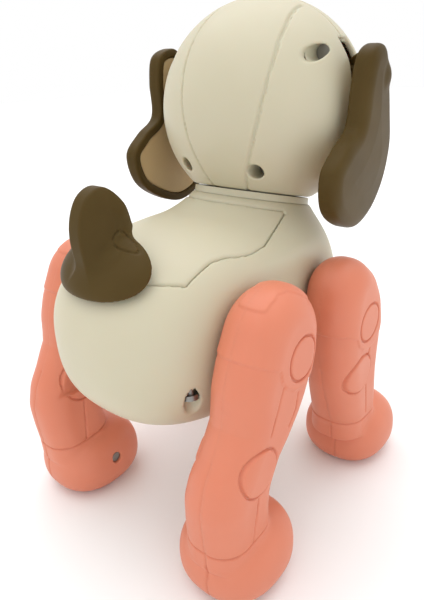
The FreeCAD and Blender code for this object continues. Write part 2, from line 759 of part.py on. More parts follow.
def make_legs():
    split = size("leg_split_x")
    hip_z = size("hip_z")
    shaft = size("hip_shaft_radius")
    legs = {"front": (size("hip_front_y"), size("foot_front_y"), FRONT_LEG),
            "rear": (size("hip_rear_y"), size("foot_rear_y"), REAR_LEG)}
    upper_screws = {"front": ((9.4, 98.6), (3, 60)), "rear": ((1.4, 105.2), (16, 59))}
    for end, (hip_y, foot_y, upper) in legs.items():
        hip = Vector(0, hip_y, hip_z)
        outer = leg_solid(hip_y, foot_y, upper, 0)
        outer = outer.cut(box(Vector(20, -100, 55), Vector(size("leg_inner_x"), 100, 130)))
        cavity = leg_solid(hip_y, foot_y, upper, size("leg_wall"))
        cavity = cavity.cut(box(Vector(20, -100, 50), Vector(size("leg_inner_x") + 2, 100, 130)))
        shell = outer.cut(cavity)
        sole_curve = oval(20, 2.3, lambda u, v: Vector(size("foot_x") + size("sole_half_width") * u,
                                                       foot_y + size("sole_half_length") * v, 0))
        sole = Part.Face(sole_curve).extrude(Z_AXIS * size("sole_thickness"))
        shell = shell.cut(sole)
        inside = shell.common(box(Vector(0, -120, -5), Vector(split, 120, 130)))
        outside = shell.common(box(Vector(split, -120, -5), Vector(90, 120, 130)))

        boss_start = size("leg_inner_x") + 1
        boss = cylinder(6, hip + X_AXIS * boss_start, hip + X_AXIS * split)
        bore = cylinder(shaft, hip + X_AXIS * 30, hip + X_AXIS * (split - 1))
        inside = inside.fuse(boss).cut(bore)
        screws = []
        screw_places = [(hip_y + offset, level, 3) for offset, level in upper_screws[end]]
        screw_places.append((foot_y, size("foot_screw_z"), 4))
        for screw_y, screw_z, boss_radius in screw_places:
            screw_line = Vector(5, screw_y, screw_z)
            start = first_on_line(inside, screw_line, screw_line + X_AXIS * 65) + X_AXIS * 2.5
            column = cylinder(boss_radius, screw_line, screw_line + X_AXIS * 65).common(outer)
            inside = inside.fuse(column.common(box(Vector(0, -120, -5), Vector(split, 120, 130))))
            outside = outside.fuse(column.common(box(Vector(split, -120, -5), Vector(90, 120, 130))))
            shank = cylinder(1.2, start, Vector(split + 6, screw_y, screw_z))
            head = cylinder(2.1, start - X_AXIS * 1.4, start)
            inside = inside.cut(cylinder(2.3, Vector(20, screw_y, screw_z), start)).cut(shank)
            outside = outside.cut(shank)
            screws.append(head.fuse(shank))
        for name, side in SIDES.items():
            prefix = f"{end}_{name}_leg_"
            add_feature(prefix + "outer_shell", mirrored(biggest(outside), side))
            add_feature(prefix + "inner_shell", mirrored(biggest(inside), side))
            add_feature(prefix + "sole_pad", mirrored(sole, side))
            add_feature(prefix + "screws", mirrored(Part.makeCompound(screws), side))


# ---------------------------------------------------------------- drive
def drive_points(end):
    """Axle positions of one gearbox: hip, layshaft, idler and motor, at x = 0."""
    module = size("gear_module")
    facing = ENDS[end]
    hip = Vector(0, size(f"hip_{end}_y"), size("hip_z"))
    lay_distance = module * (size("teeth_left_hip") + size("teeth_lay_left")) / 2
    idler_distance = module * (size("teeth_right_hip") + size("teeth_idler")) / 2
    idler_to_lay = module * (size("teeth_idler") + size("teeth_lay_right")) / 2
    motor_distance = module * (size("teeth_motor") + size("teeth_lay_middle")) / 2
    spread = math.acos((lay_distance ** 2 + idler_distance ** 2 - idler_to_lay ** 2)
                       / (2 * lay_distance * idler_distance))
    slant = math.radians(size("motor_slant"))
    lay = hip - Z_AXIS * lay_distance
    idler = hip + Vector(0, facing * math.sin(spread), -math.cos(spread)) * idler_distance
    motor = lay + Vector(0, -facing * math.sin(slant), -math.cos(slant)) * motor_distance
    return hip, lay, idler, motor


def angle_between(start, end):
    return math.atan2(end.z - start.z, end.y - start.y)


def case_profile(end, grow):
    hip = drive_points(end)[0]
    facing = ENDS[end]
    corners = [(-12.8, 13), (15.5, 13), (15.5, -18), (8, -28.5), (0, -33.5), (-15.8, -33.5),
               (-15.8, -20), (-12.8, -16)]
    points = [Vector(0, hip.y + facing * along, hip.z + up) for along, up in corners]
    wire = Part.makePolygon(points + points[:1])
    return wire.makeOffset2D(grow, 2) if grow else wire


def make_drive(end):
    hip, lay, idler, motor = drive_points(end)
    inner_x, outer_x = size("gear_inner_x"), size("gear_outer_x")
    hip_shaft = size("hip_shaft_radius")
    teeth = {name: int(size("teeth_" + name)) for name in
             ("left_hip", "right_hip", "lay_left", "lay_right", "lay_middle", "idler", "motor")}
    half = size("middle_gear_half_width")
    gap = size("running_gap")
    shaft_end = size("leg_split_x") - 1

    to_lay = angle_between(hip, lay)
    left_gear = gear_blank(teeth["left_hip"], to_lay, hip, inner_x, outer_x)
    lay_phase = gear_phase(teeth["left_hip"], to_lay, teeth["lay_left"], to_lay)
    lay_left = gear_blank(teeth["lay_left"], lay_phase, lay, inner_x - 0.4, outer_x + 0.4)
    lay_to_idler = angle_between(lay, idler)
    lay_right = gear_blank(teeth["lay_right"], lay_to_idler, lay, -outer_x - 0.4, -inner_x + 0.4)
    idler_phase = gear_phase(teeth["lay_right"], lay_to_idler, teeth["idler"], lay_to_idler)
    idler_gear = gear_blank(teeth["idler"], idler_phase, idler, -outer_x - 0.2, -inner_x + 0.2)
    idler_to_hip = angle_between(idler, hip)
    right_phase = gear_phase(teeth["idler"], idler_phase, teeth["right_hip"], idler_to_hip)
    right_gear = gear_blank(teeth["right_hip"], right_phase, hip, -outer_x, -inner_x)
    lay_to_motor = angle_between(lay, motor)
    lay_middle = gear_blank(teeth["lay_middle"], lay_to_motor, lay, -half, half)
    motor_phase = gear_phase(teeth["lay_middle"], lay_to_motor, teeth["motor"], lay_to_motor)
    motor_gear = gear_blank(teeth["motor"], motor_phase, motor, -half - 0.3, half + 0.3)

    case_half = size("case_half_width")
    case_wall = size("case_wall")
    body_half = size("body_half_width")
    add_feature(f"{end}_left_hip_shaft",
                fused([left_gear, cylinder(hip_shaft, hip + X_AXIS * 2.4, hip + X_AXIS * shaft_end)]))
    add_feature(f"{end}_right_hip_shaft",
                fused([right_gear, cylinder(hip_shaft, hip - X_AXIS * 2.4, hip - X_AXIS * shaft_end)]))
    lay_axle = cylinder(size("lay_radius"), lay - X_AXIS * (case_half - 0.2), lay + X_AXIS * (case_half - 0.2))
    add_feature(f"{end}_layshaft", fused([lay_left, lay_middle, lay_right, lay_axle]))
    add_feature(f"{end}_idler_gear",
                fused([idler_gear, cylinder(size("idler_pin_radius"), idler - X_AXIS * (case_half - 0.2),
                                            idler - X_AXIS * 2.8)]))
    add_feature(f"{end}_motor_pinion",
                fused([motor_gear, cylinder(size("motor_shaft_radius"), motor - X_AXIS * 2.4,
                                            motor + X_AXIS * (size("motor_inner_x") + 5))]))
    can = cylinder(size("motor_radius"), motor + X_AXIS * size("motor_inner_x"),
                   motor + X_AXIS * size("motor_outer_x"))
    shaft_hole = cylinder(size("motor_shaft_radius") + gap, motor, motor + X_AXIS * (size("motor_inner_x") + 5.3))
    can = can.cut(shaft_hole)
    add_feature(f"{end}_motor", can)

    outside = Part.Face(case_profile(end, 0))
    inside = Part.Face(case_profile(end, -case_wall))
    block = outside.extrude(X_AXIS * case_half)
    hollow = inside.extrude(X_AXIS * (case_half - case_wall))
    for name, side in SIDES.items():
        half_case = mirrored(block.cut(hollow), side)
        boss_root = hip + X_AXIS * side * (case_half - 0.5)
        bearing_tube = cylinder(size("hip_bearing_radius"), boss_root, hip + X_AXIS * side * body_half)
        half_case = half_case.fuse(bearing_tube)
        half_case = half_case.cut(cylinder(hip_shaft + gap, hip, hip + X_AXIS * side * 60))
        half_case = half_case.cut(cylinder(size("lay_radius") + gap, lay, lay + X_AXIS * side * 60))
        if side > 0:
            half_case = half_case.cut(cylinder(size("motor_radius"), motor, motor + X_AXIS * 60))
        else:
            half_case = half_case.cut(cylinder(size("idler_pin_radius") + gap, idler, idler - X_AXIS * 60))
        add_feature(f"{end}_gearbox_{name}_half", biggest(half_case.removeSplitter()))


# ---------------------------------------------------------------- sketched and primitive pieces
def evaluated(expression):
    """The number that a sheet expression stands for."""
    return float(sheet.evalExpression(expression.replace("sizes.", "")))


def sketch_outline(body, plane_role, corners):
    """A closed sketch of straight lines; every corner is bound to the sheet."""
    sketch = body.newObject("Sketcher::SketchObject", body.Name + "_outline")
    plane = next(item for item in body.Origin.OriginFeatures if item.Role == plane_role)
    sketch.AttachmentSupport = [(plane, "")]
    sketch.MapMode = "FlatFace"
    numbers = [(evaluated(across), evaluated(up)) for across, up in corners]
    count = len(numbers)
    for index, (across, up) in enumerate(numbers):
        following = numbers[(index + 1) % count]
        sketch.addGeometry(Part.LineSegment(Vector(across, up, 0), Vector(following[0], following[1], 0)))
    for index in range(count):
        sketch.addConstraint(Sketcher.Constraint("Coincident", index, 2, (index + 1) % count, 1))
    for index, corner in enumerate(corners):
        for kind, expression, number in zip(("DistanceX", "DistanceY"), corner, numbers[index]):
            row = sketch.addConstraint(Sketcher.Constraint(kind, -1, 1, index, 1, number))
            sketch.setExpression(f"Constraints[{row}]", expression)
    return sketch


def turned_body(name, corners, placement):
    """A PartDesign body turned about its own Z; corners are (radius, height)."""
    body = doc.addObject("PartDesign::Body", name)
    sketch = sketch_outline(body, "XZ_Plane", corners)
    turn = body.newObject("PartDesign::Revolution", name + "_turn")
    turn.Profile = sketch
    turn.ReferenceAxis = (sketch, ["V_Axis"])
    turn.Angle = 360
    body.Tip = turn
    body.Placement = placement
    body.Label = name
    subparts.append(body)
    return body


def padded_body(name, corners, height, placement):
    """A PartDesign body padded upwards from its own XY plane."""
    body = doc.addObject("PartDesign::Body", name)
    sketch = sketch_outline(body, "XY_Plane", corners)
    pad = body.newObject("PartDesign::Pad", name + "_pad")
    pad.Profile = sketch
    pad.setExpression("Length", height)
    body.Tip = pad
    body.Placement = placement
    body.Label = name
    subparts.append(body)
    return body


def primitive(kind, name, place_expressions, **expressions):
    """A Part primitive whose sizes and place are bound to the sheet."""
    feature = doc.addObject("Part::" + kind, name)
    for path, expression in expressions.items():
        feature.setExpression(path, expression)
    for axis, expression in zip("xyz", place_expressions):
        feature.setExpression("Placement.Base." + axis, expression)
    return feature


def joined(name, pieces):
    union = doc.addObject("Part::MultiFuse", name)
    union.Shapes = pieces
    union.Placement = DOG_PLACE
    union.Label = name
    subparts.append(union)
    return union


def make_neck():
    neck_place = DOG_PLACE * Placement(HEAD_CENTRE, Rotation(X_AXIS, size("neck_tilt")))
    stem, rim, bore = "sizes.neck_stem_radius", "sizes.collar_radius", "sizes.neck_bore_radius"
    journal, flange = "sizes.neck_bearing_radius", "sizes.neck_flange_radius"
    top = "-(sizes.neck_floor + sizes.neck_gap)"
    foot = "-(sizes.neck_floor + sizes.neck_gap + sizes.collar_thickness)"
    stem_end = "-(sizes.neck_floor + sizes.neck_gap + sizes.collar_thickness + 6)"
    flange_low = "-(sizes.neck_floor - sizes.wall - sizes.seam_gap)"
    flange_high = "-(sizes.neck_floor - sizes.wall - sizes.seam_gap - sizes.neck_flange_thickness)"
    turned_body("neck_collar", [(stem, foot), (rim, foot), (rim, top), (stem, top)], neck_place)
    turned_body("neck_turntable",
                [(bore, stem_end), (stem, stem_end), (stem, top), (journal, top), (journal, flange_low),
                 (flange, flange_low), (flange, flange_high), (bore, flange_high)], neck_place)


def make_speaker():
    face_down_y = Rotation(X_AXIS, -90)
    place = DOG_PLACE * Placement(Vector(0, size("speaker_y"), size("speaker_z")), face_down_y)
    rim, depth = "sizes.speaker_radius", "sizes.speaker_depth"
    turned_body("speaker", [("0.01", "1.6"), ("sizes.speaker_radius - 2.4", "0.6"),
                            ("sizes.speaker_radius - 1.2", "0"), (rim, "0"), (rim, "1.4"),
                            ("sizes.speaker_radius - 3", depth), ("0.01", depth)], place)


def make_electrics():
    half = "sizes.board_width / 2"
    padded_body("main_circuit_board",
                [("-" + half, "0"), (half, "0"), (half, "sizes.board_length"), ("4", "sizes.board_length"),
                 ("4", "sizes.board_length - 3"), ("-4", "sizes.board_length - 3"),
                 ("-4", "sizes.board_length"), ("-" + half, "sizes.board_length")],
                "sizes.board_thickness",
                DOG_PLACE * Placement(Vector(0, size("board_y"), size("board_z")), Rotation()))

    cells = []
    for index in range(2):
        cell = primitive("Cylinder", f"battery_cell_{index}",
                         ("-sizes.cell_length / 2", f"sizes.cell_y + {index} * sizes.cell_spacing",
                          "sizes.cell_z"),
                         Radius="sizes.cell_radius", Height="sizes.cell_length")
        cell.setExpression("Placement.Rotation.Axis.y", "1")
        cell.setExpression("Placement.Rotation.Axis.z", "0")
        cell.setExpression("Placement.Rotation.Angle", "90")
        cells.append(cell)
    band = primitive("Box", "battery_band",
                     ("-4", "sizes.cell_y", "sizes.cell_z - sizes.cell_radius - 0.1"),
                     Length="8", Width="sizes.cell_spacing", Height="2 * sizes.cell_radius + 0.2")
    joined("battery_pack", cells + [band])

    knob = primitive("Box", "switch_knob_stem",
                     ("-sizes.switch_half_width", "sizes.switch_y", "sizes.switch_z"),
                     Length="2 * sizes.switch_half_width", Width="sizes.switch_length", Height="6")
    plate = primitive("Box", "switch_knob_plate", ("-4", "sizes.switch_y - 2.6", "sizes.switch_z + 4.9"),
                      Length="8", Width="sizes.switch_length + 5.2", Height="1.4")
    joined("power_switch_knob", [knob, plate])

    mouth = primitive("Box", "socket_mouth",
                      ("-sizes.socket_half_width", "sizes.socket_y", "sizes.socket_z"),
                      Length="2 * sizes.socket_half_width", Width="sizes.socket_depth", Height="7")
    slot = primitive("Box", "socket_slot",
                     ("1 - sizes.socket_half_width", "sizes.socket_y + 1", "sizes.socket_z"),
                     Length="2 * sizes.socket_half_width - 2", Width="sizes.socket_depth - 2", Height="5")
    socket = doc.addObject("Part::Cut", "charge_socket")
    socket.Base = mouth
    socket.Tool = slot
    socket.Placement = DOG_PLACE
    socket.Label = "charge_socket"
    subparts.append(socket)


# ---------------------------------------------------------------- build, check and write
for build in (make_head, make_ears, make_neck, make_body, make_speaker, make_electrics, make_tail, make_legs):
    build()
for end_name in ENDS:
    make_drive(end_name)
doc.recompute()

faults = [f"{item.Label}: {item.State}" for item in doc.Objects
          if "Invalid" in item.State or "Error" in item.State]
for item in subparts:
    if item.Shape.isNull() or not item.Shape.isValid():
        faults.append(f"{item.Label}: unsound shape")
if faults:
    raise RuntimeError("; ".join(faults))

os.makedirs(PARTS_FOLDER, exist_ok=True)
for item in subparts:
    item.Shape.exportStep(os.path.join(PARTS_FOLDER, item.Label + ".step"))
boxes = [item.Shape.optimalBoundingBox(False) for item in subparts]
print(len(subparts), "sub-parts, y", round(min(b.YMin for b in boxes), 3), "to",
      round(max(b.YMax for b in boxes), 3), "x", round(min(b.XMin for b in boxes), 3), "to",
      round(max(b.XMax for b in boxes), 3))
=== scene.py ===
import json
import math

import bpy
import numpy as np
import openvdb
from mathutils import Matrix, Vector


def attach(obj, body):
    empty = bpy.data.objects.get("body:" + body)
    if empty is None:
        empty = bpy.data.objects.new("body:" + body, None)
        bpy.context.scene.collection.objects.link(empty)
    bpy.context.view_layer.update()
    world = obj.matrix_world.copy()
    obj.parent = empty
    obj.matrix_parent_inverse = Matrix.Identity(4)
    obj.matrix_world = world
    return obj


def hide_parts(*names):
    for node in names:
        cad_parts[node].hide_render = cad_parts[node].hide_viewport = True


# Robot dog toy. The dog faces -Y and its left side is +X. Shapes are worked out in
# millimetres as signed distances, and turned into meshes in metres.

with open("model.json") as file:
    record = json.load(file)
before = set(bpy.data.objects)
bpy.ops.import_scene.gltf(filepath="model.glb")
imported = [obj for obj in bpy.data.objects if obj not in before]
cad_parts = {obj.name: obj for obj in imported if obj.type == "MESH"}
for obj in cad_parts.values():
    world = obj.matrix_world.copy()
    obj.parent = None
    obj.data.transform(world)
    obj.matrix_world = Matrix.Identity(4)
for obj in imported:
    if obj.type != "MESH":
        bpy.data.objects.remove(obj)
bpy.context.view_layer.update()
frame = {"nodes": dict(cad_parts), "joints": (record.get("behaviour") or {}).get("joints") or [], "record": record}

MM = 0.001
JOINTS = {joint["name"]: joint for joint in frame["joints"]}


def anchor(joint):
    """A joint's place, in millimetres."""
    return np.array(JOINTS[joint]["pos_m"]) / MM


HEAD = anchor("head_turn")
HIPS = {"front": anchor("front_left_hip"), "rear": anchor("rear_left_hip")}
NECK_UP = np.array(JOINTS["head_turn"]["axis"])
TAIL_UP = np.array(JOINTS["tail_wag"]["axis"])
SIDES = {"left": 1, "right": -1}
NOWHERE = 9  # a distance that cuts nothing
WALL = 2.2
HEAD_RADIUS = 41.4
HEAD_TURNED = math.radians(6)
NECK_FLOOR = 33.2  # from the head's centre down the neck to its flat floor
NECK_FOOT = HEAD - NECK_UP * (NECK_FLOOR + 3)


# ---------------------------------------------------------------- signed distances
MARGIN_CELLS = 3  # room round a shape, and how far from its surface distances are kept
GROOVE_ROUND = 0.35
STEP_RAMP = 0.6
FAR = 1e9


class Block:
    """Sample points that fill a box, as three arrays that broadcast together."""

    def __init__(self, low, high, step):
        self.step = step
        self.low = np.array(low, float) - MARGIN_CELLS * step
        counts = np.ceil((np.array(high, float) + MARGIN_CELLS * step - self.low) / step).astype(int) + 1
        axes = [(self.low[i] + step * np.arange(counts[i])).astype(np.float32) for i in range(3)]
        self.x = axes[0][:, None, None]
        self.y = axes[1][None, :, None]
        self.z = axes[2][None, None, :]
        self.shape = tuple(counts)

    def offsets(self, place):
        """How far each sample is from a place, along x, y and z."""
        return self.x - place[0], self.y - place[1], self.z - place[2]

    def true_distance(self, level):
        """Turn a smooth level function into a distance near its surface."""
        level = np.broadcast_to(level, self.shape)
        slopes = np.gradient(level, self.step)
        steepness = np.sqrt(slopes[0] ** 2 + slopes[1] ** 2 + slopes[2] ** 2)
        return level / np.maximum(steepness, 1e-4)


def blend_max(a, b, reach):
    """The overlap of two shapes, with an edge rounded over reach."""
    share = np.clip(0.5 - 0.5 * (b - a) / reach, 0, 1)
    return b * (1 - share) + a * share + reach * share * (1 - share)


def blend_min(a, b, reach):
    """The union of two shapes, with a corner filled over reach."""
    return -blend_max(-a, -b, reach)


def groove(distance, across, half_width, depth):
    """Cut a narrow groove where across, a signed distance from the groove's line, is near zero."""
    cut = np.minimum(half_width - np.abs(across), distance + depth)
    return blend_max(distance, cut, GROOVE_ROUND)


def rod(block, start, end, radius):
    """Distance to a round rod with flat ends."""
    start, end = np.array(start, float), np.array(end, float)
    length = np.linalg.norm(end - start)
    along = (end - start) / length
    dx, dy, dz = block.offsets(start)
    position = dx * along[0] + dy * along[1] + dz * along[2]
    square = dx ** 2 + dy ** 2 + dz ** 2 - position ** 2
    return np.maximum(np.sqrt(np.maximum(square, 0)) - radius, np.abs(position - length / 2) - length / 2)


def capsule(block, start, end, start_radius, end_radius):
    """Distance to a rod with round ends whose radius changes evenly."""
    start, end = np.array(start, float), np.array(end, float)
    along = end - start
    dx, dy, dz = block.offsets(start)
    share = np.clip((dx * along[0] + dy * along[1] + dz * along[2]) / (along @ along), 0, 1)
    square = (dx - share * along[0]) ** 2 + (dy - share * along[1]) ** 2 + (dz - share * along[2]) ** 2
    return np.sqrt(square) - (start_radius + (end_radius - start_radius) * share)


def ball(block, centre, radii):
    """Distance to an ellipsoid, true near its surface."""
    radii = np.broadcast_to(np.array(radii, float), 3)
    u, v, w = ((block.x - centre[0]) / radii[0], (block.y - centre[1]) / radii[1],
               (block.z - centre[2]) / radii[2])
    inner = np.sqrt(u ** 2 + v ** 2 + w ** 2)
    slope = np.sqrt((u / radii[0]) ** 2 + (v / radii[1]) ** 2 + (w / radii[2]) ** 2)
    return inner * (inner - 1) / np.maximum(slope, 1e-6)


def box_distance(block, low, high):
    """Distance to a box that stands square to the axes."""
    centre, half = (np.array(low) + np.array(high)) / 2, (np.array(high) - np.array(low)) / 2
    level = np.maximum(np.abs(block.x - centre[0]) - half[0], np.abs(block.y - centre[1]) - half[1])
    return np.maximum(level, np.abs(block.z - centre[2]) - half[2])


def step_up(distance):
    """A narrow ramp from 0 to 1 where distance passes zero, as a layer that spans the block."""
    return np.clip((distance + STEP_RAMP / 2) / STEP_RAMP, 0, 1)[None]


def smooth_loop(corners, per_side=10):
    """Points of a closed smooth curve through the corners."""
    corners = np.array(corners, float)
    shares = np.arange(per_side) / per_side
    loop = []
    count = len(corners)
    for index in range(count):
        before, start, end, after = (corners[(index + k - 1) % count] for k in range(4))
        for share in shares:
            loop.append(0.5 * (2 * start + (end - before) * share
                               + (2 * before - 5 * start + 4 * end - after) * share ** 2
                               + (3 * start - before - 3 * end + after) * share ** 3))
    return np.array(loop)


def loop_distance(u, v, loop):
    """Signed distance, negative inside, from a closed polygon, for flat arrays u and v."""
    u, v = np.broadcast_arrays(u, v)
    nearest = np.full(u.shape, FAR, np.float32)
    inside = np.zeros(u.shape, bool)
    for start, end in zip(loop, np.roll(loop, -1, axis=0)):
        du, dv = end - start
        share = np.clip(((u - start[0]) * du + (v - start[1]) * dv) / (du * du + dv * dv + 1e-12), 0, 1)
        nearest = np.minimum(nearest, (u - start[0] - share * du) ** 2 + (v - start[1] - share * dv) ** 2)
        crosses = (start[1] > v) != (end[1] > v)
        if dv:
            inside ^= crosses & (u < start[0] + (v - start[1]) * du / dv)
    return np.where(inside, -1, 1) * np.sqrt(nearest)


def path_distance(u, v, path):
    """Distance from an open line, for arrays u and v."""
    u, v = np.broadcast_arrays(u, v)
    nearest = np.full(u.shape, FAR, np.float32)
    for start, end in zip(path[:-1], path[1:]):
        du, dv = np.array(end, float) - np.array(start, float)
        share = np.clip(((u - start[0]) * du + (v - start[1]) * dv) / (du * du + dv * dv), 0, 1)
        nearest = np.minimum(nearest, (u - start[0] - share * du) ** 2 + (v - start[1] - share * dv) ** 2)
    return np.sqrt(nearest)


# ---------------------------------------------------------------- meshes
IDENTITY = Matrix.Identity(4)


def piece_from(block, distance, name, body, replaced, slot, placed=IDENTITY, mirror=False):
    """Mesh the zero surface of a distance block, and make it a piece that rides on its body."""
    reach = MARGIN_CELLS * block.step
    values = np.clip(np.broadcast_to(distance, block.shape), -reach, reach).astype(np.float32)
    grid = openvdb.FloatGrid(reach)
    grid.copyFromArray(np.ascontiguousarray(values))
    points, quads = grid.convertToQuads(isovalue=0.0)
    points = block.low + points.astype(float) * block.step
    quads = quads.astype(np.int32)
    if mirror:
        points[:, 0] *= -1
        quads = quads[:, ::-1]
    mesh = bpy.data.meshes.new(name)
    mesh.vertices.add(len(points))
    mesh.vertices.foreach_set("co", (points * MM).astype(np.float32).ravel())
    mesh.loops.add(quads.size)
    mesh.loops.foreach_set("vertex_index", quads.ravel())
    mesh.polygons.add(len(quads))
    mesh.polygons.foreach_set("loop_start", np.arange(0, quads.size, 4, dtype=np.int32))
    mesh.polygons.foreach_set("loop_total", np.full(len(quads), 4, np.int32))
    mesh.update(calc_edges=True)
    mesh.validate()
    mesh.transform(placed)
    mesh.polygons.foreach_set("use_smooth", np.ones(len(mesh.polygons), bool))
    mesh.materials.append(SLOT_MATERIALS[slot])
    piece = bpy.data.objects.new(name, mesh)
    bpy.context.scene.collection.objects.link(piece)
    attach(piece, body)
    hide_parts(*replaced)
    return piece


# ---------------------------------------------------------------- materials
DRIFT_SCALE, PATCH_SCALE, GRAIN_SCALE, WAVE_SCALE = 26.0, 90.0, 2400.0, 120.0
WAVE_SHARE = 0.35
GRAIN_DEPTH, STREAK_DEPTH = 0.0004, 0.0002


def material_base(name):
    """A new material with its node tree, and the shader in it."""
    material = bpy.data.materials.new(name)
    material.use_nodes = True
    nodes, links = material.node_tree.nodes, material.node_tree.links
    return material, nodes, links, nodes["Principled BSDF"]


def noise(nodes, links, scale, detail=2.0):
    """A noise texture that stays with the piece."""
    texture = nodes.new("ShaderNodeTexNoise")
    texture.inputs["Scale"].default_value = scale
    texture.inputs["Detail"].default_value = detail
    place = nodes.new("ShaderNodeTexCoord")
    links.new(place.outputs["Object"], texture.inputs["Vector"])
    return texture


def ramp(nodes, links, source, stops):
    """Colours between two stops, each a position and a colour."""
    node = nodes.new("ShaderNodeValToRGB")
    for element, (position, colour) in zip(node.color_ramp.elements, stops):
        element.position = position
        element.color = (*colour, 1)
    links.new(source, node.inputs["Fac"])
    return node


def moulded_plastic(name, colour, low_colour, roughness, glow=0.0, glow_radius=0.004, grain=0.03,
                    specular=0.45):
    """Satin moulded plastic: slow drifts of colour, fine grain and uneven gloss."""
    material, nodes, links, shader = material_base(name)
    drift = noise(nodes, links, DRIFT_SCALE, 3.0)
    colours = ramp(nodes, links, drift.outputs["Fac"], [(0.3, low_colour), (0.7, colour)])
    links.new(colours.outputs["Color"], shader.inputs["Base Color"])
    patches = noise(nodes, links, PATCH_SCALE, 4.0)
    gloss = nodes.new("ShaderNodeMapRange")
    gloss.inputs["To Min"].default_value = roughness - 0.05
    gloss.inputs["To Max"].default_value = roughness + 0.07
    links.new(patches.outputs["Fac"], gloss.inputs["Value"])
    links.new(gloss.outputs["Result"], shader.inputs["Roughness"])
    fine = noise(nodes, links, GRAIN_SCALE)
    wave = noise(nodes, links, WAVE_SCALE)
    height = nodes.new("ShaderNodeMath")
    height.operation = "MULTIPLY_ADD"
    height.inputs[1].default_value = WAVE_SHARE
    links.new(wave.outputs["Fac"], height.inputs[0])
    links.new(fine.outputs["Fac"], height.inputs[2])
    bump = nodes.new("ShaderNodeBump")
    bump.inputs["Strength"].default_value = grain
    bump.inputs["Distance"].default_value = GRAIN_DEPTH
    links.new(height.outputs["Value"], bump.inputs["Height"])
    links.new(bump.outputs["Normal"], shader.inputs["Normal"])
    shader.inputs["Specular IOR Level"].default_value = specular
    shader.inputs["Subsurface Weight"].default_value = glow
    shader.inputs["Subsurface Radius"].default_value = (1.0, 0.5, 0.3)
    shader.inputs["Subsurface Scale"].default_value = glow_radius
    return material


def plain_metal(name, colour, roughness, scale):
    """Bare metal with faint streaks."""
    material, nodes, links, shader = material_base(name)
    streaks = noise(nodes, links, scale, 3.0)
    low_colour = tuple(0.8 * c for c in colour)
    colours = ramp(nodes, links, streaks.outputs["Fac"], [(0.2, low_colour), (0.8, colour)])
    links.new(colours.outputs["Color"], shader.inputs["Base Color"])
    shader.inputs["Metallic"].default_value = 1.0
    shader.inputs["Roughness"].default_value = roughness
    bump = nodes.new("ShaderNodeBump")
    bump.inputs["Strength"].default_value = 0.1
    bump.inputs["Distance"].default_value = STREAK_DEPTH
    links.new(streaks.outputs["Fac"], bump.inputs["Height"])
    links.new(bump.outputs["Normal"], shader.inputs["Normal"])
    return material


CREAM = moulded_plastic("cream plastic", (0.57, 0.525, 0.385), (0.545, 0.5, 0.36), 0.45, 0.2)
CORAL = moulded_plastic("coral plastic", (0.68, 0.222, 0.128), (0.645, 0.195, 0.108), 0.45, 0.12)
CORAL_RUBBER = moulded_plastic("coral rubber", (0.70, 0.30, 0.22), (0.64, 0.27, 0.19), 0.7, 0.0, grain=0.12)
BROWN = moulded_plastic("smoky brown plastic", (0.088, 0.057, 0.018), (0.066, 0.042, 0.012), 0.4, 0.2, 0.003,
                        specular=0.06)
TAN = moulded_plastic("tan lining", (0.54, 0.39, 0.21), (0.48, 0.345, 0.18), 0.55, 0.2, 0.003, specular=0.3)
BLACK = moulded_plastic("black gloss", (0.012, 0.012, 0.014), (0.008, 0.008, 0.01), 0.12, grain=0.01)
LENS = moulded_plastic("tinted lens", (0.25, 0.55, 0.68), (0.18, 0.46, 0.6), 0.12, 0.2, grain=0.01)
BOARD = moulded_plastic("green board", (0.02, 0.17, 0.06), (0.015, 0.12, 0.045), 0.4)
WRAP = moulded_plastic("battery wrap", (0.05, 0.12, 0.4), (0.04, 0.1, 0.33), 0.3)
CONE = moulded_plastic("speaker cone", (0.03, 0.03, 0.03), (0.02, 0.02, 0.02), 0.6)
NYLON = moulded_plastic("white nylon", (0.74, 0.74, 0.7), (0.68, 0.68, 0.64), 0.5, 0.2)
DARK = moulded_plastic("dark plastic", (0.05, 0.05, 0.05), (0.035, 0.035, 0.035), 0.45)
STEEL = plain_metal("plated steel", (0.3, 0.29, 0.27), 0.42, 300.0)
CAN = plain_metal("motor can", (0.7, 0.7, 0.72), 0.25, 200.0)
SLOT_MATERIALS = {"cream_plastic": CREAM, "coral_plastic": CORAL, "coral_rubber": CORAL_RUBBER,
                  "smoky_brown_plastic": BROWN, "tan_lining": TAN, "black_gloss": BLACK, "eye_lens": LENS,
                  "screw_steel": STEEL, "motor_steel": CAN, "circuit_board": BOARD, "battery_wrap": WRAP,
                  "speaker_black": CONE, "socket_metal": STEEL, "dark_plastic": DARK, "white_nylon": NYLON}


def finish_cad_nodes():
    """Give the solids that stay visible the same materials as the finished pieces."""
    slots = {part["node"]: part["material_slot"] for part in frame["record"]["subparts"]}
    for name, node in frame["nodes"].items():
        node.data.materials.clear()
        node.data.materials.append(SLOT_MATERIALS[slots[name]])


# ---------------------------------------------------------------- legs
LEG_SHAPES = {
    # centre line: y and z past the hip's axle, and the half width across it
    "rear": [(1.4, 0, 17.8), (2.6, -5, 19.0), (4.6, -10, 19.6), (6.6, -15, 19.2), (8.6, -21, 17.8),
             (11.6, -28, 16.0), (16.2, -34, 15.0), (19.6, -40, 15.0), (22.6, -45, 15.2), (24.0, -50, 15.2),
             (24.0, -57, 14.8), (23.4, -65, 14.6), (22.8, -76, 14.8)],
    "front": [(10.0, -1, 13.2), (8.2, -6, 16.2), (6.6, -12, 18.2), (5.2, -19, 18.8), (4.0, -27, 18.4),
              (2.6, -35, 17.6), (0.8, -43, 16.4), (-1.2, -51, 15.4), (-3.2, -58, 14.6), (-4.8, -65, 14.2),
              (-6.2, -76, 14.4)],
}
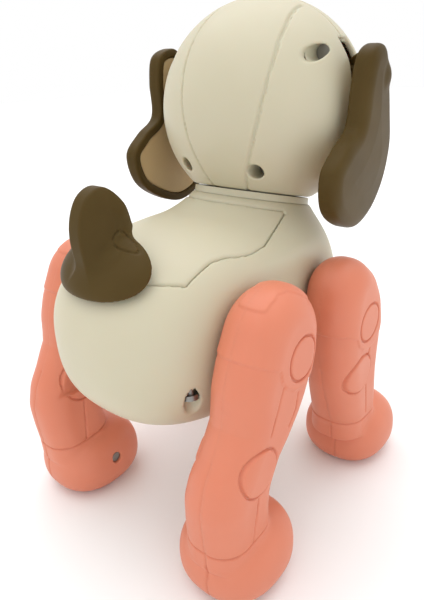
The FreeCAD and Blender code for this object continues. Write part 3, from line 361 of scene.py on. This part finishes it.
# height past the hip's axle, and x of the leg's middle or half its thickness there
LEG_MIDDLE = [(-94, 44.4), (-66, 45), (-56, 45.6), (-44, 46.2), (-34, 47.0), (-26, 47.4), (20, 47.6)]
LEG_HALF = [(-94, 12.6), (-66, 12.2), (-50, 11.8), (-34, 11.0), (-20, 11.2), (20, 11.0)]
LEG_STEP = 0.45
LEG_WALL = 2.0
LEG_LOW, LEG_HIGH = (22, -42, 0.5), (64, 46, 115)  # the block they are made in, y past the hip
FOOT_Y = {"front": -17, "rear": 16.8}
FOOT_X, FOOT_Z = 43.5, 12
FOOT_HALF_X, FOOT_HALF_Y, FOOT_UP, FOOT_DOWN = 19.7, 21.3, 17.0, 14.5
FOOT_POWER = 2.35
FOOT_SCALE = 18  # about the foot's radius, which turns its level into millimetres
FOOT_ROUND = 1.6
SOLE_Z = 1.0
FOOT_SCREW_Z = 16.5
TUBE_INNER_X, TUBE_RADIUS = 26, 3.6
SEAT_INNER_X, SEAT_OUTER_X, FOOT_SEAT_RADIUS = 22, 32, 2.3
SPLIT_X = 46.5
HIP_INNER_X = 36.7
HIP_FLAT_Z = 52  # above this the inner side is flat, where the leg lies against the body
EDGE_ROUND = 10.4
SEAM_OVERLAP = 0.3
SEAM_TOP_Z = 62
SEAM_HALF, BOOT_SEAM_DEPTH, SHIN_SEAM_DEPTH = 0.28, 0.5, 0.22
LIMB_REACH = 9  # how far the limb goes on below the ankle, inside the boot


def along_table(table, z):
    """The values of a table at heights z, with its corners smoothed."""
    heights, values = zip(*table)
    grid = np.linspace(heights[0], heights[-1], 60)
    linear = np.interp(grid, heights, values)
    kernel = np.hanning(9)[1:-1]
    kernel /= kernel.sum()
    padded = np.concatenate([np.full(3, linear[0]), linear, np.full(3, linear[-1])])
    return np.interp(z, grid, np.convolve(padded, kernel, mode="valid"))


def leg_profile(end, y, z):
    """Signed distance, in side view, from the leg's outline above the foot."""
    stations = np.array(LEG_SHAPES[end], float)
    ordinal = np.arange(len(stations))
    fine = np.linspace(0, len(stations) - 1, 80)
    nearest = None
    for centre_y, centre_z, radius in zip(*(np.interp(fine, ordinal, stations[:, k]) for k in range(3))):
        gap = np.hypot(y - centre_y, z - centre_z) - radius
        nearest = gap if nearest is None else np.minimum(nearest, gap)
    return nearest


def rounded_plate(flat, thick, radius):
    """A plate from its flat distance and its distance through the thickness, with round edges."""
    u, v = flat + radius, thick + radius
    return np.minimum(np.maximum(u, v), 0) + np.sqrt(np.maximum(u, 0) ** 2 + np.maximum(v, 0) ** 2) - radius


ANKLE_Z = 28.2
ANKLE_SLOPE = 0.055


def ankle_height(end, y):
    """Height of the crease where the boot meets the leg: it drops towards the nose or the tail."""
    return ANKLE_Z - ANKLE_SLOPE * (y - FOOT_Y[end]) * (1 if end == "rear" else -1)


def leg_distance(end, block):
    """The whole leg without its moulded lines."""
    hip_y, hip_z = HIPS[end][1], HIPS[end][2]
    y, z = block.y - hip_y, block.z - hip_z
    middle = along_table(LEG_MIDDLE, z)
    half = along_table(LEG_HALF, z)
    limb = rounded_plate(leg_profile(end, y, z), np.abs(block.x - middle) - half, EDGE_ROUND)
    limb = blend_max(limb, ANKLE_Z - LIMB_REACH - block.z, 1.0)
    rise = np.where(block.z > FOOT_Z, FOOT_UP, FOOT_DOWN)
    foot = ((np.abs(block.x - FOOT_X) / FOOT_HALF_X) ** FOOT_POWER
            + (np.abs(y - FOOT_Y[end]) / FOOT_HALF_Y) ** FOOT_POWER
            + (np.abs(block.z - FOOT_Z) / rise) ** FOOT_POWER) ** (1 / FOOT_POWER) - 1
    foot = block.true_distance(foot * FOOT_SCALE)
    leg = blend_min(limb, foot, FOOT_ROUND)
    return blend_max(leg, SOLE_Z - block.z, FOOT_ROUND)


# places past the hip's axle in side view, y and z, and the discs' radii
HIP_DISC = {"rear": (-1.2, -5.4, 7.8), "front": (5.6, -13.4, 8.0)}
KNEE_DISC = {"rear": (21.2, -38.0, 8.6), "front": (8.0, -36.8, 8.8)}
COVER_LINE = {
    "rear": [(40, 1.6), (22, 0.6), (17, -1.4), (11.8, -4.0), (10.8, -8.6), (8.0, -12.2), (3.4, -15.6),
             (-2, -16.2), (-7.4, -14.0), (-11, -10.2), (-14, -9.6), (-40, -9.2)],
    "front": [(40, -13.6), (21, -14.4), (15.6, -17.2), (13.2, -21.6), (9.0, -24.6), (4, -26.0), (-1, -25.0),
              (-4.6, -22.0), (-7.4, -18.6), (-10, -18.0), (-40, -17.4)],
}
PLATE_LINE = [(40, 16.4), (13.4, 14.6), (11.6, 14.4), (8.6, 16.0), (4.0, 17.6), (0, 17.4), (-3.4, 15.8),
              (-8, 12.4), (-40, 9.0)]
THIGH_LINES = {
    "rear": [[(9.6, -11.0), (16.4, -26.0)], [(0.8, -17.4), (1.8, -23), (5.6, -28.6)]],
    "front": [[(2.2, -26.8), (2.4, -31.5)]],
}
SHIN_LINES = {"rear": [[(22.2, -47.8), (24.8, -65.4)]], "front": [[(1.0, -45.6), (-2.6, -62)]]}
# half width and depth of each groove, and how far the raised parts stand out
HIP_GROOVE, KNEE_GROOVE, ANKLE_GROOVE, LINE_GROOVE = (0.42, 1.0), (0.36, 0.8), (0.32, 0.7), (0.3, 0.6)
DISC_RAISED, COVER_RAISED, PLATE_RAISED = 0.55, 0.5, 0.45


def leg_details(end, block, leg, inner_side):
    """Raise the covers and the knee's disc on one half, and cut its moulded lines and ankle crease."""
    y, z = block.y - HIPS[end][1], block.z - HIPS[end][2]
    flat_y, flat_z = y[0, :, :], z[0, :, :]
    hip_y, hip_z, hip_radius = HIP_DISC[end]
    knee_y, knee_z, knee_radius = KNEE_DISC[end]
    knee_disc = np.hypot(flat_y - knee_y, flat_z - knee_z) - knee_radius
    leg = leg - np.clip(-knee_disc / 0.8, 0, 1)[None] * DISC_RAISED
    leg = groove(leg, knee_disc[None], *KNEE_GROOVE)
    leg = groove(leg, block.z - ankle_height(end, y), *ANKLE_GROOVE)
    for line in SHIN_LINES[end]:
        leg = groove(leg, path_distance(flat_y, flat_z, line)[None], *LINE_GROOVE)
    cover = np.array(COVER_LINE[end])[::-1]
    leg = leg - step_up(flat_z - np.interp(flat_y, cover[:, 0], cover[:, 1])) * COVER_RAISED
    if end == "rear":
        plate = np.array(PLATE_LINE)[::-1]
        leg = leg - step_up(flat_z - np.interp(flat_y, plate[:, 0], plate[:, 1])) * PLATE_RAISED
    if inner_side:
        return leg
    hip_disc = np.hypot(flat_y - hip_y, flat_z - hip_z) - hip_radius
    leg = groove(leg, hip_disc[None], *HIP_GROOVE)
    for line in THIGH_LINES[end]:
        leg = groove(leg, path_distance(flat_y, flat_z, line)[None], *LINE_GROOVE)
    return leg


def make_legs():
    """Both halves of the four legs. The right ones are the left ones mirrored."""
    for end in HIPS:
        hip_y = HIPS[end][1]
        shift = np.array((0, hip_y, 0))
        block = Block(LEG_LOW + shift, LEG_HIGH + shift, LEG_STEP)
        leg = leg_distance(end, block)
        cavity = leg + LEG_WALL
        room = np.where(block.z > HIP_FLAT_Z, HIP_INNER_X - block.x, -NOWHERE)
        shin_seam = np.where(block.z < SEAM_TOP_Z, SHIN_SEAM_DEPTH, 0)
        seam_depth = np.where(block.z < ANKLE_Z, BOOT_SEAM_DEPTH, shin_seam)
        halves = {}
        for inner_side in (False, True):
            solid = leg_details(end, block, leg, inner_side)
            seam = np.minimum(SEAM_HALF - np.abs(block.x - SPLIT_X), leg + seam_depth)
            solid = np.where(seam_depth > 0, blend_max(solid, seam, 0.3), solid)
            if inner_side:
                solid = blend_max(solid, room, 0.6)
                screw = (hip_y + FOOT_Y[end], FOOT_SCREW_Z)
                tube = rod(block, (TUBE_INNER_X, *screw), (SPLIT_X, *screw), TUBE_RADIUS)
                seat = rod(block, (SEAT_INNER_X, *screw), (SEAT_OUTER_X, *screw), FOOT_SEAT_RADIUS)
                shell = np.maximum(solid, -np.maximum(cavity, -tube))
                shell = blend_max(shell, -seat, 0.5)
                halves[inner_side] = np.maximum(shell, block.x - SPLIT_X - SEAM_OVERLAP)
            else:
                halves[inner_side] = np.maximum(np.maximum(solid, -cavity), SPLIT_X - SEAM_OVERLAP - block.x)
        for side, sign in SIDES.items():
            body = f"{end}_{side}_leg"
            for inner_side, half in ((False, "_outer"), (True, "_inner")):
                piece_from(block, halves[inner_side], body + half, body, [body + half + "_shell"],
                           "coral_plastic", mirror=sign < 0)


# ---------------------------------------------------------------- body
BODY_MIDDLE = (0, HIPS["rear"][1] - 22.1, 88)
BODY_HALF = (39.8, 65.3, 36.4, 39.3)  # across, along, up and down
BODY_POWER = 2.6
BODY_SCALE = 38  # about the body's radius, which turns its level into millimetres
BODY_SIDE_X = 36.0
BODY_STEP = 0.6
FLARE_RADIUS, FLARE_SPREAD, FLARE_LENGTH, FLARE_COSINE = 24.4, 13, 26, 0.89
FLARE_MIDDLE, FLARE_HALF, FLARE_ROUND = 12, 14, 9.0
RUMP = np.array([0, HIPS["rear"][1] + 3.3, 88.5])  # centre of the round rump under the tail
# the back cover's edge from above: x, and y past the rear hips
COVER_EDGE = [(24.4, -44), (27.6, -29.5), (30.0, -20), (30.2, -12), (29.2, -6), (27.4, -1.2), (26.2, 5),
              (26.4, 12.5), (26.4, 17.6), (22.0, 22.6), (16.8, 26.4), (10.5, 31)]
COVER_LOW_Z = 93
COVER_GAP = 0.16


def neck_place(block):
    """Height above the neck's foot along its axis, and distance from that axis."""
    dx, dy, dz = block.offsets(NECK_FOOT)
    height = dx * NECK_UP[0] + dy * NECK_UP[1] + dz * NECK_UP[2]
    return height, np.sqrt(np.maximum(dx ** 2 + dy ** 2 + dz ** 2 - height ** 2, 0))


def body_distance(block):
    """The solid body: a rounded box with a flare up to the neck."""
    dz = block.z - BODY_MIDDLE[2]
    level = ((np.abs(block.x) / BODY_HALF[0]) ** BODY_POWER
             + (np.abs(block.y - BODY_MIDDLE[1]) / BODY_HALF[1]) ** BODY_POWER
             + (np.abs(dz) / np.where(dz > 0, BODY_HALF[2], BODY_HALF[3])) ** BODY_POWER)
    body = block.true_distance((level ** (1 / BODY_POWER) - 1) * BODY_SCALE)
    height, radius = neck_place(block)
    spread = FLARE_RADIUS + FLARE_SPREAD * np.clip(-height / FLARE_LENGTH, -0.3, 1.2)
    flare = (radius - spread) * FLARE_COSINE
    flare = np.maximum(flare, np.abs(-height - FLARE_MIDDLE) - FLARE_HALF)
    body = blend_min(body, flare, FLARE_ROUND)
    body = blend_max(body, np.abs(block.x) - BODY_SIDE_X, 2.0)
    return blend_max(body, height, 0.8)


POST_FOOT = (31, 23, 72)  # the rear screw posts lean inward: their foot and top, y past the rear hips
POST_TOP = (21, 18.5, 115)
FRONT_POST = (23.5, 4.5)
POST_RADIUS, SEAT_RADIUS, SEAT_FLOOR = 4.4, 2.9, 2
REAR_POST_DOWN, REAR_POST_UP = 20, 9
FRONT_POST_LOW_Z, FRONT_POST_HIGH_Z = 40, 58
DOOR = (18, -6.5, 15.5)  # half width, front and back
DOOR_TOP_Z = 62
DOOR_GAP = 0.12
DOOR_SEAT = (3, 40, 50.9, 2.25)  # y past the door's front, low and high z, and radius
SWITCH_SLOT = ((-2.4, 28.0, 40), (2.4, 37.0, 58))
CHARGE_PORT = ((-4.5, 42, 40), (4.5, 46, 58))
GRILLE_Z = 84
GRILLE_RINGS = ((0, 1), (3, 6), (6, 12))  # radius and number of holes
GRILLE_HOLE = 0.85
NECK_CLEARANCE = 27
STEM_HOLE = (-14, 4, 10)  # start and end up from the neck's foot, and radius
TAIL_SOCKET = (30, 50, 7.0)  # start and end up from the rump's centre, and radius


def make_body():
    """The belly, back cover and battery door, cut from one shell."""
    rear_y, front_y = HIPS["rear"][1], HIPS["front"][1]
    block = Block((-37, BODY_MIDDLE[1] - 66, 48), (37, BODY_MIDDLE[1] + 66, 131), BODY_STEP)
    solid = body_distance(block)
    shell = np.maximum(solid, -(solid + WALL))
    half = [(x, rear_y + y) for x, y in COVER_EDGE]
    loop = np.array([(0, half[0][1])] + half + [(-x, y) for x, y in reversed(half)])
    plan = loop_distance(block.x[:, :, 0], block.y[:, :, 0], loop)[:, :, None]
    neck = neck_place(block)[1] - NECK_CLEARANCE
    region = np.maximum(np.maximum(plan, -neck), COVER_LOW_Z - block.z)
    cover = blend_max(shell, region + COVER_GAP, 0.5)
    belly = blend_max(shell, COVER_GAP - region, 0.5)
    socket = rod(block, RUMP + TAIL_UP * TAIL_SOCKET[0], RUMP + TAIL_UP * TAIL_SOCKET[1], TAIL_SOCKET[2])
    cover = blend_max(cover, -socket, 0.6)
    stem_hole = rod(block, *(NECK_FOOT + NECK_UP * height for height in STEM_HOLE[:2]), STEM_HOLE[2])
    belly = np.maximum(belly, -stem_hole)
    for side in SIDES.values():
        rear_foot = np.array((side * POST_FOOT[0], rear_y + POST_FOOT[1], POST_FOOT[2]))
        rear_top = np.array((side * POST_TOP[0], rear_y + POST_TOP[1], POST_TOP[2]))
        slant = (rear_top - rear_foot) / np.linalg.norm(rear_top - rear_foot)
        front = np.array((side * FRONT_POST[0], FRONT_POST[1], 0))
        for start, end in ((rear_foot - slant * REAR_POST_DOWN, rear_foot + slant * REAR_POST_UP),
                           (front + (0, 0, FRONT_POST_LOW_Z), front + (0, 0, FRONT_POST_HIGH_Z))):
            column = np.maximum(rod(block, start, end, POST_RADIUS), solid)
            belly = np.minimum(belly, column)
            seat_end = end - (end - start) / np.linalg.norm(end - start) * SEAT_FLOOR
            belly = blend_max(belly, -rod(block, start, seat_end, SEAT_RADIUS), 0.5)
    door = np.maximum(np.abs(block.x) - DOOR[0], np.maximum(DOOR[1] - block.y, block.y - DOOR[2]))
    door = np.where(block.z < DOOR_TOP_Z, door, NOWHERE)
    hatch = blend_max(shell, door + DOOR_GAP, 0.5)
    belly = blend_max(belly, -(door - DOOR_GAP), 0.5)
    seat_y = DOOR[1] + DOOR_SEAT[0]
    seat = rod(block, (0, seat_y, DOOR_SEAT[1]), (0, seat_y, DOOR_SEAT[2]), DOOR_SEAT[3])
    hatch = np.maximum(hatch, -seat)
    for opening in (SWITCH_SLOT, CHARGE_PORT):
        belly = blend_max(belly, -box_distance(block, *opening), 0.4)
    for ring, count in GRILLE_RINGS:
        for index in range(count):
            angle = 2 * math.pi * index / count
            hole = (ring * math.cos(angle), GRILLE_Z + ring * math.sin(angle))
            distance = np.hypot(block.x - hole[0], block.z - hole[1]) - GRILLE_HOLE
            belly = blend_max(belly, -np.where(block.y < front_y, distance, NOWHERE), 0.4)
    piece_from(block, cover, "back_cover_skin", "torso", ["back_cover"], "cream_plastic")
    piece_from(block, belly, "belly_skin", "torso", ["belly_shell"], "cream_plastic")
    piece_from(block, hatch, "battery_hatch", "battery_hatch", ["battery_door"], "cream_plastic")


# ---------------------------------------------------------------- head
# the head and ears are made about the head's centre, facing -Y, and then turned into place
HEAD_PLACE = Matrix.Translation(Vector(HEAD * MM)) @ Matrix.Rotation(HEAD_TURNED, 4, Vector(NECK_UP))
HEAD_STEP = 0.5
HEAD_SIDE_X = 39.2
CHEEK_ROUND = 3.0
MUZZLE = ((0, -33.5, -14), (17, 14, 11.5))  # centre and radii
MUZZLE_ROUND = 5.0
COLLAR_HOLE = (28, 37, 13.8)  # start and end down the neck, and radius
SCREW_PLACES = [(15.5, -18.4), (29.8, 21.1)]
SCREW_DEPTH = 11
BOSS_RADIUS, SCREW_SEAT_RADIUS, SCREW_HOLE_RADIUS = 3.6, 2.8, 1.5
# the two seams down the back of the head: height and half spread
SEAM_LINE = [(-34, 5.0), (-27, 6.8), (-18, 9.7), (-8, 13.0), (0, 15.0), (9, 16.4), (19, 17.1), (29, 16.6),
             (40, 14.0)]
SEAM_SHIFT = -3.2
SEAM_COSINE = 0.977
SEAM_GROOVE = (0.42, 0.7)
SEAM_FRONT_Y = 5
EAR_SLOT = ((31, -6.8, 9.6), (50, 2.8, 25.8))
FACE_Z = 9
FACE_HALF = (27, 16)
FACE_POWER = 2.8
FACE_BACK_Y = -10
VISOR_WALL, VISOR_GAP = 1.6, 0.15
EYE_X, EYE_RADIUS = 12.5, 7.0
EYE_FRONT_Y, EYE_BACK_Y = -60, -20
NOSE = ((0, -44.5, -7.5), (5.4, 4.2, 3.4))


def head_distance(block):
    """The solid head: a ball with flat cheeks and a low muzzle."""
    head = ball(block, (0, 0, 0), HEAD_RADIUS)
    head = blend_max(head, np.abs(block.x) - HEAD_SIDE_X, CHEEK_ROUND)
    return blend_min(head, ball(block, *MUZZLE), MUZZLE_ROUND)


def make_head():
    """The back and front shells and the visor, cut from one hollow head."""
    block = Block((-40, -48, -38), (40, 42, 42), HEAD_STEP)
    solid = head_distance(block)
    floor = -NECK_FLOOR - (block.x * NECK_UP[0] + block.y * NECK_UP[1] + block.z * NECK_UP[2])
    outer = blend_max(solid, floor, 1.0)
    cavity = np.maximum(solid + WALL, floor + WALL)
    stem = rod(block, -NECK_UP * COLLAR_HOLE[0], -NECK_UP * COLLAR_HOLE[1], COLLAR_HOLE[2])
    shell = np.maximum(np.maximum(outer, -cavity), -stem)
    for side in SIDES.values():
        x_low, x_high = sorted((side * EAR_SLOT[0][0], side * EAR_SLOT[1][0]))
        slot = box_distance(block, (x_low, *EAR_SLOT[0][1:]), (x_high, *EAR_SLOT[1][1:]))
        shell = blend_max(shell, -slot, 1.0)
    back = shell
    seam = np.interp(block.z, *zip(*SEAM_LINE))
    for side in SIDES.values():
        across = (side * (block.x - SEAM_SHIFT) - seam) * SEAM_COSINE
        back = groove(back, np.where(block.y > SEAM_FRONT_Y, across, NOWHERE), *SEAM_GROOVE)
        for x, z in SCREW_PLACES:
            wall_y = math.sqrt(HEAD_RADIUS ** 2 - x ** 2 - z ** 2)
            boss = rod(block, (side * x, 0.2, z), (side * x, wall_y, z), BOSS_RADIUS)
            seat_end = (side * x, wall_y - SCREW_DEPTH, z)
            seat = rod(block, seat_end, (side * x, wall_y + 12, z), SCREW_SEAT_RADIUS)
            hole = rod(block, (side * x, 0, z), (side * x, wall_y, z), SCREW_HOLE_RADIUS)
            back = np.minimum(back, np.maximum(boss, solid + 0.5))
            back = np.maximum(blend_max(back, -seat, 0.7), -hole)
    back = blend_max(back, 0.1 - block.y, 0.4)
    front = blend_max(shell, block.y + 0.1, 0.4)
    face = (np.abs(block.x / FACE_HALF[0]) ** FACE_POWER
            + np.abs((block.z - FACE_Z) / FACE_HALF[1]) ** FACE_POWER) ** (1 / FACE_POWER) - 1
    face = np.where(block.y < FACE_BACK_Y, face * FACE_HALF[1], NOWHERE)
    visor = np.maximum(np.maximum(solid, -(solid + VISOR_WALL)), face + VISOR_GAP)
    front = blend_max(front, -np.maximum(face, -(solid + VISOR_WALL)), 0.4)
    for side in SIDES.values():
        eye = rod(block, (side * EYE_X, EYE_FRONT_Y, FACE_Z), (side * EYE_X, EYE_BACK_Y, FACE_Z), EYE_RADIUS)
        visor = blend_max(visor, -eye, 0.5)
        front = np.maximum(front, -eye)
    nose = ball(block, *NOSE)
    front = np.maximum(front, -nose)
    visor = np.maximum(visor, -(nose - 0.2))
    piece_from(block, back, "head_back", "head", ["head_back_shell"], "cream_plastic", HEAD_PLACE)
    piece_from(block, front, "head_front", "head", ["head_front_shell"], "cream_plastic", HEAD_PLACE)
    piece_from(block, visor, "visor", "head", ["face_visor"], "black_gloss", HEAD_PLACE)


# ---------------------------------------------------------------- ears
# the left ear's outline in side view, y and z from the head's centre
EAR_OUTLINE = [(6.4, 23.5), (13.2, 20), (15.6, 10.1), (16.2, -3), (26.5, -9.2), (35, -17), (31.8, -29.5),
               (20, -37.8), (5.4, -42.1), (-9.4, -38), (-19, -27), (-20.8, -12.5), (-14.2, 1.4), (-6.5, 14.3),
               (0, 22.6)]
EAR_INNER_X, EAR_OUTER_X = 42.6, 50.6
EAR_STEP = 0.4
EAR_LEAN = 0.04
EAR_BEVEL, BEVEL_COSINE = 2.6, 0.7071
EAR_CROWN, CROWN_INSET = 0.05, 14  # slope of the outer face, from this far inside the edge
EAR_PIN = (30, 13)  # x and z of the pin that the ear swings on
PIN_HOLE_RADIUS = 1.58
PIN_HOLE_Y = (-5, 20)
ARM_Y, ARM_HALF, ARM_OUTER_X = -2, 2.7, 46
ARM_RADII = (3.3, 4.4)
# the rounded root between the arm and the plate: a wedge about the pin
ROOT_TURN = (math.radians(-12), math.radians(43))
ROOT_TOP = 21.5
ROOT_HALF = 3.8
ROOT_OUTER_X = 45
LINING_INSET = 3.4
LINING_GAP = 0.12
RECESS_DEPTH, LINING_BACK, LINING_FRONT = 1.6, 0.5, 1.55  # from the plate's inner face


def make_ears():
    """The left ear's shell and lining, and the same mirrored."""
    block = Block((26, -21, -44), (54, 36, 28), EAR_STEP)
    loop = smooth_loop(EAR_OUTLINE, 8)
    flat = loop_distance(block.y[0, :, :], block.z[0, :, :], loop)[None, :, :]
    across = block.x - EAR_LEAN * (block.z - EAR_PIN[1])
    inner = EAR_INNER_X - across
    outer = across - EAR_OUTER_X
    plate = blend_max(flat, inner, 1.0)
    plate = blend_max(plate, (flat + outer + EAR_BEVEL) * BEVEL_COSINE, 1.2)
    plate = blend_max(plate, outer + EAR_CROWN * np.maximum(flat + CROWN_INSET, 0), 2.0)
    arm = capsule(block, (EAR_PIN[0], ARM_Y, EAR_PIN[1]), (ARM_OUTER_X, ARM_Y, EAR_PIN[1]), *ARM_RADII)
    arm = np.maximum(arm, np.abs(block.y - ARM_Y) - ARM_HALF)
    turn = np.arctan2(block.z - EAR_PIN[1], block.x - EAR_PIN[0])
    reach = np.hypot(block.z - EAR_PIN[1], block.x - EAR_PIN[0])
    root = np.maximum(np.sin(turn - ROOT_TURN[1]), np.sin(ROOT_TURN[0] - turn)) * reach
    root = blend_max(root, block.z - ROOT_TOP, 2.0)
    root = blend_max(root, np.maximum(np.abs(block.y - ARM_Y) - ROOT_HALF, block.x - ROOT_OUTER_X), 1.6)
    root = np.maximum(root, EAR_PIN[0] + 1 - block.x)
    shell = blend_min(blend_min(plate, arm, 3.0), root, 1.0)
    pin_hole = rod(block, *((EAR_PIN[0], y, EAR_PIN[1]) for y in PIN_HOLE_Y), PIN_HOLE_RADIUS)
    shell = np.maximum(shell, -pin_hole)
    lining_plan = flat + LINING_INSET
    recess = np.maximum(lining_plan, across - EAR_INNER_X - RECESS_DEPTH)
    lining = blend_max(lining_plan + LINING_GAP, EAR_INNER_X + LINING_BACK - across, 0.7)
    lining = blend_max(lining, across - EAR_INNER_X - LINING_FRONT, 0.3)
    lining = np.maximum(lining, -(arm - 0.2))
    shell = blend_max(shell, -np.maximum(recess, -(arm - 0.1)), 0.4)
    for side, sign in SIDES.items():
        body = f"{side}_ear"
        piece_from(block, shell, body + "_skin", body, [body + "_shell"], "smoky_brown_plastic",
                   HEAD_PLACE, sign < 0)
        piece_from(block, lining, body + "_inside", body, [body + "_lining"], "tan_lining",
                   HEAD_PLACE, sign < 0)


# ---------------------------------------------------------------- tail
# the leaf in side view: y and z past TAIL_ORIGIN
TAIL_OUTLINE = [(8.5, 34), (12.5, 40), (15.5, 49), (23, 55.5), (30, 53.5), (34.1, 46), (34.5, 36),
                (31, 22), (20.5, 16), (8.5, 22)]
TAIL_ORIGIN = (HIPS["rear"][1] + 3.5, 88)
TAIL_STEP = 0.4
TAIL_RIM_HALF = 2.7
TAIL_SWELL, TAIL_SWELL_REACH = 4.6, 6
TAIL_HALF = 7
TAIL_FOOT = (0, HIPS["rear"][1] + 25.2, 113.0)
TAIL_FOOT_RADII = (21.5, 15, 15)
TAIL_FOOT_LOW, TAIL_FOOT_TOP = 41.8, 44.4  # distances from the rump's centre
TAIL_BOSS = (25.5, 126.5, 2.9)  # y past the rear hips, z and radius
BOSS_GROOVE = (0.3, 0.45)
TAIL_CLEARANCE = 2
TAIL_ROUND = 3.5
TAIL_STEM = (32, 46, 6.5)  # start and end up from the rump's centre, and radius


def make_tail():
    """A swollen leaf on a round foot, and the stem that turns in the back cover."""
    rear_y = HIPS["rear"][1]
    loop = smooth_loop([(TAIL_ORIGIN[0] + y, TAIL_ORIGIN[1] + z) for y, z in TAIL_OUTLINE], 8)
    block = Block((-23, rear_y + 7, 98), (23, rear_y + 41, 147), TAIL_STEP)
    flat = loop_distance(block.y[0, :, :], block.z[0, :, :], loop)[None, :, :]
    swell = TAIL_RIM_HALF + TAIL_SWELL * (1 - np.exp(np.minimum(flat, 0) / TAIL_SWELL_REACH))
    leaf = blend_max(flat, (np.abs(block.x) - swell) * 0.8, 0.5)
    leaf = blend_max(leaf, np.abs(block.x) - TAIL_HALF, 1.5)
    foot = ball(block, TAIL_FOOT, TAIL_FOOT_RADII)
    foot = blend_max(foot, ball(block, RUMP, TAIL_FOOT_TOP), 2.0)
    tail = blend_min(leaf, foot, TAIL_ROUND)
    boss = np.hypot(block.y - rear_y - TAIL_BOSS[0], block.z - TAIL_BOSS[1]) - TAIL_BOSS[2]
    tail = groove(tail, boss, *BOSS_GROOVE)
    tail = blend_max(tail, -ball(block, RUMP, TAIL_FOOT_LOW), 1.2)
    tail = np.maximum(tail, TAIL_CLEARANCE - body_distance(block))
    stem = rod(block, RUMP + TAIL_UP * TAIL_STEM[0], RUMP + TAIL_UP * TAIL_STEM[1], TAIL_STEM[2])
    tail = blend_min(tail, stem, 0.8)
    piece_from(block, tail, "tail_skin", "tail", ["tail_shell"], "smoky_brown_plastic")


# ---------------------------------------------------------------- studio
AZIMUTH, ELEVATION, ROLL = math.radians(220.95), math.radians(24.21), math.radians(-2.52)
AIM = (0, 8.33, 85.26)
CAMERA_DISTANCE = 223.85
SENSOR_WIDTH, FOCAL_LENGTH = 36, 31.5984
WORLD_STRENGTH = 1.0
SUN_STRENGTH, SUN_SPREAD, SUN_SIDE = 1.4, math.radians(70), (0.2, -0.15, 1)
KEY_PLACE, KEY_AIM, KEY_WIDTH, KEY_POWER = (-0.1, 0.55, 0.6), (0, 0, 0.1), 0.35, 0.15
FLOOR_WIDTH = 6


def make_camera():
    """Look from behind the dog, to its right and a little above."""
    target = Vector(AIM) * MM
    back = Vector((math.sin(AZIMUTH) * math.cos(ELEVATION), -math.cos(AZIMUTH) * math.cos(ELEVATION),
                   math.sin(ELEVATION)))
    right = (-back).cross(Vector((0, 0, 1))).normalized()
    up = right.cross(-back)
    turned_right = right * math.cos(ROLL) + up * math.sin(ROLL)
    turned_up = up * math.cos(ROLL) - right * math.sin(ROLL)
    camera = bpy.data.objects.new("camera", bpy.data.cameras.new("camera"))
    camera.data.sensor_width = SENSOR_WIDTH
    camera.data.lens = FOCAL_LENGTH
    camera.data.clip_start = 0.01
    rotation = Matrix((turned_right, turned_up, back)).transposed().to_4x4()
    camera.matrix_world = Matrix.Translation(target + back * (CAMERA_DISTANCE * MM)) @ rotation
    bpy.context.scene.collection.objects.link(camera)
    bpy.context.scene.camera = camera


def make_studio():
    """White surroundings, a broad sun, a small key light behind the dog, and a pale floor."""
    world = bpy.data.worlds.new("studio")
    world.use_nodes = True
    world.node_tree.nodes["Background"].inputs["Color"].default_value = (1, 1, 1, 1)
    world.node_tree.nodes["Background"].inputs["Strength"].default_value = WORLD_STRENGTH
    bpy.context.scene.world = world
    bpy.context.scene.view_settings.view_transform = "Standard"
    sun = bpy.data.objects.new("sun", bpy.data.lights.new("sun", "SUN"))
    sun.data.energy = SUN_STRENGTH
    sun.data.angle = SUN_SPREAD
    sun.matrix_world = Vector(SUN_SIDE).to_track_quat("Z", "Y").to_matrix().to_4x4()
    bpy.context.scene.collection.objects.link(sun)
    key = bpy.data.objects.new("key", bpy.data.lights.new("key", "AREA"))
    key.data.shape = "SQUARE"
    key.data.size = KEY_WIDTH
    key.data.energy = KEY_POWER
    turn = (Vector(KEY_AIM) - Vector(KEY_PLACE)).to_track_quat("-Z", "Y").to_matrix().to_4x4()
    key.matrix_world = Matrix.Translation(Vector(KEY_PLACE)) @ turn
    bpy.context.scene.collection.objects.link(key)
    bpy.ops.mesh.primitive_plane_add(size=FLOOR_WIDTH, location=(0, 0, 0))
    floor = bpy.context.object
    floor.name = "floor"
    material, nodes, links, shader = material_base("pale floor")
    speck = noise(nodes, links, 3.0)
    colours = ramp(nodes, links, speck.outputs["Fac"], [(0.0, (0.9, 0.9, 0.9)), (1.0, (0.92, 0.92, 0.92))])
    links.new(colours.outputs["Color"], shader.inputs["Base Color"])
    shader.inputs["Roughness"].default_value = 0.8
    floor.data.materials.append(material)


finish_cad_nodes()
make_legs()
make_body()
make_head()
make_ears()
make_tail()
make_camera()
make_studio()
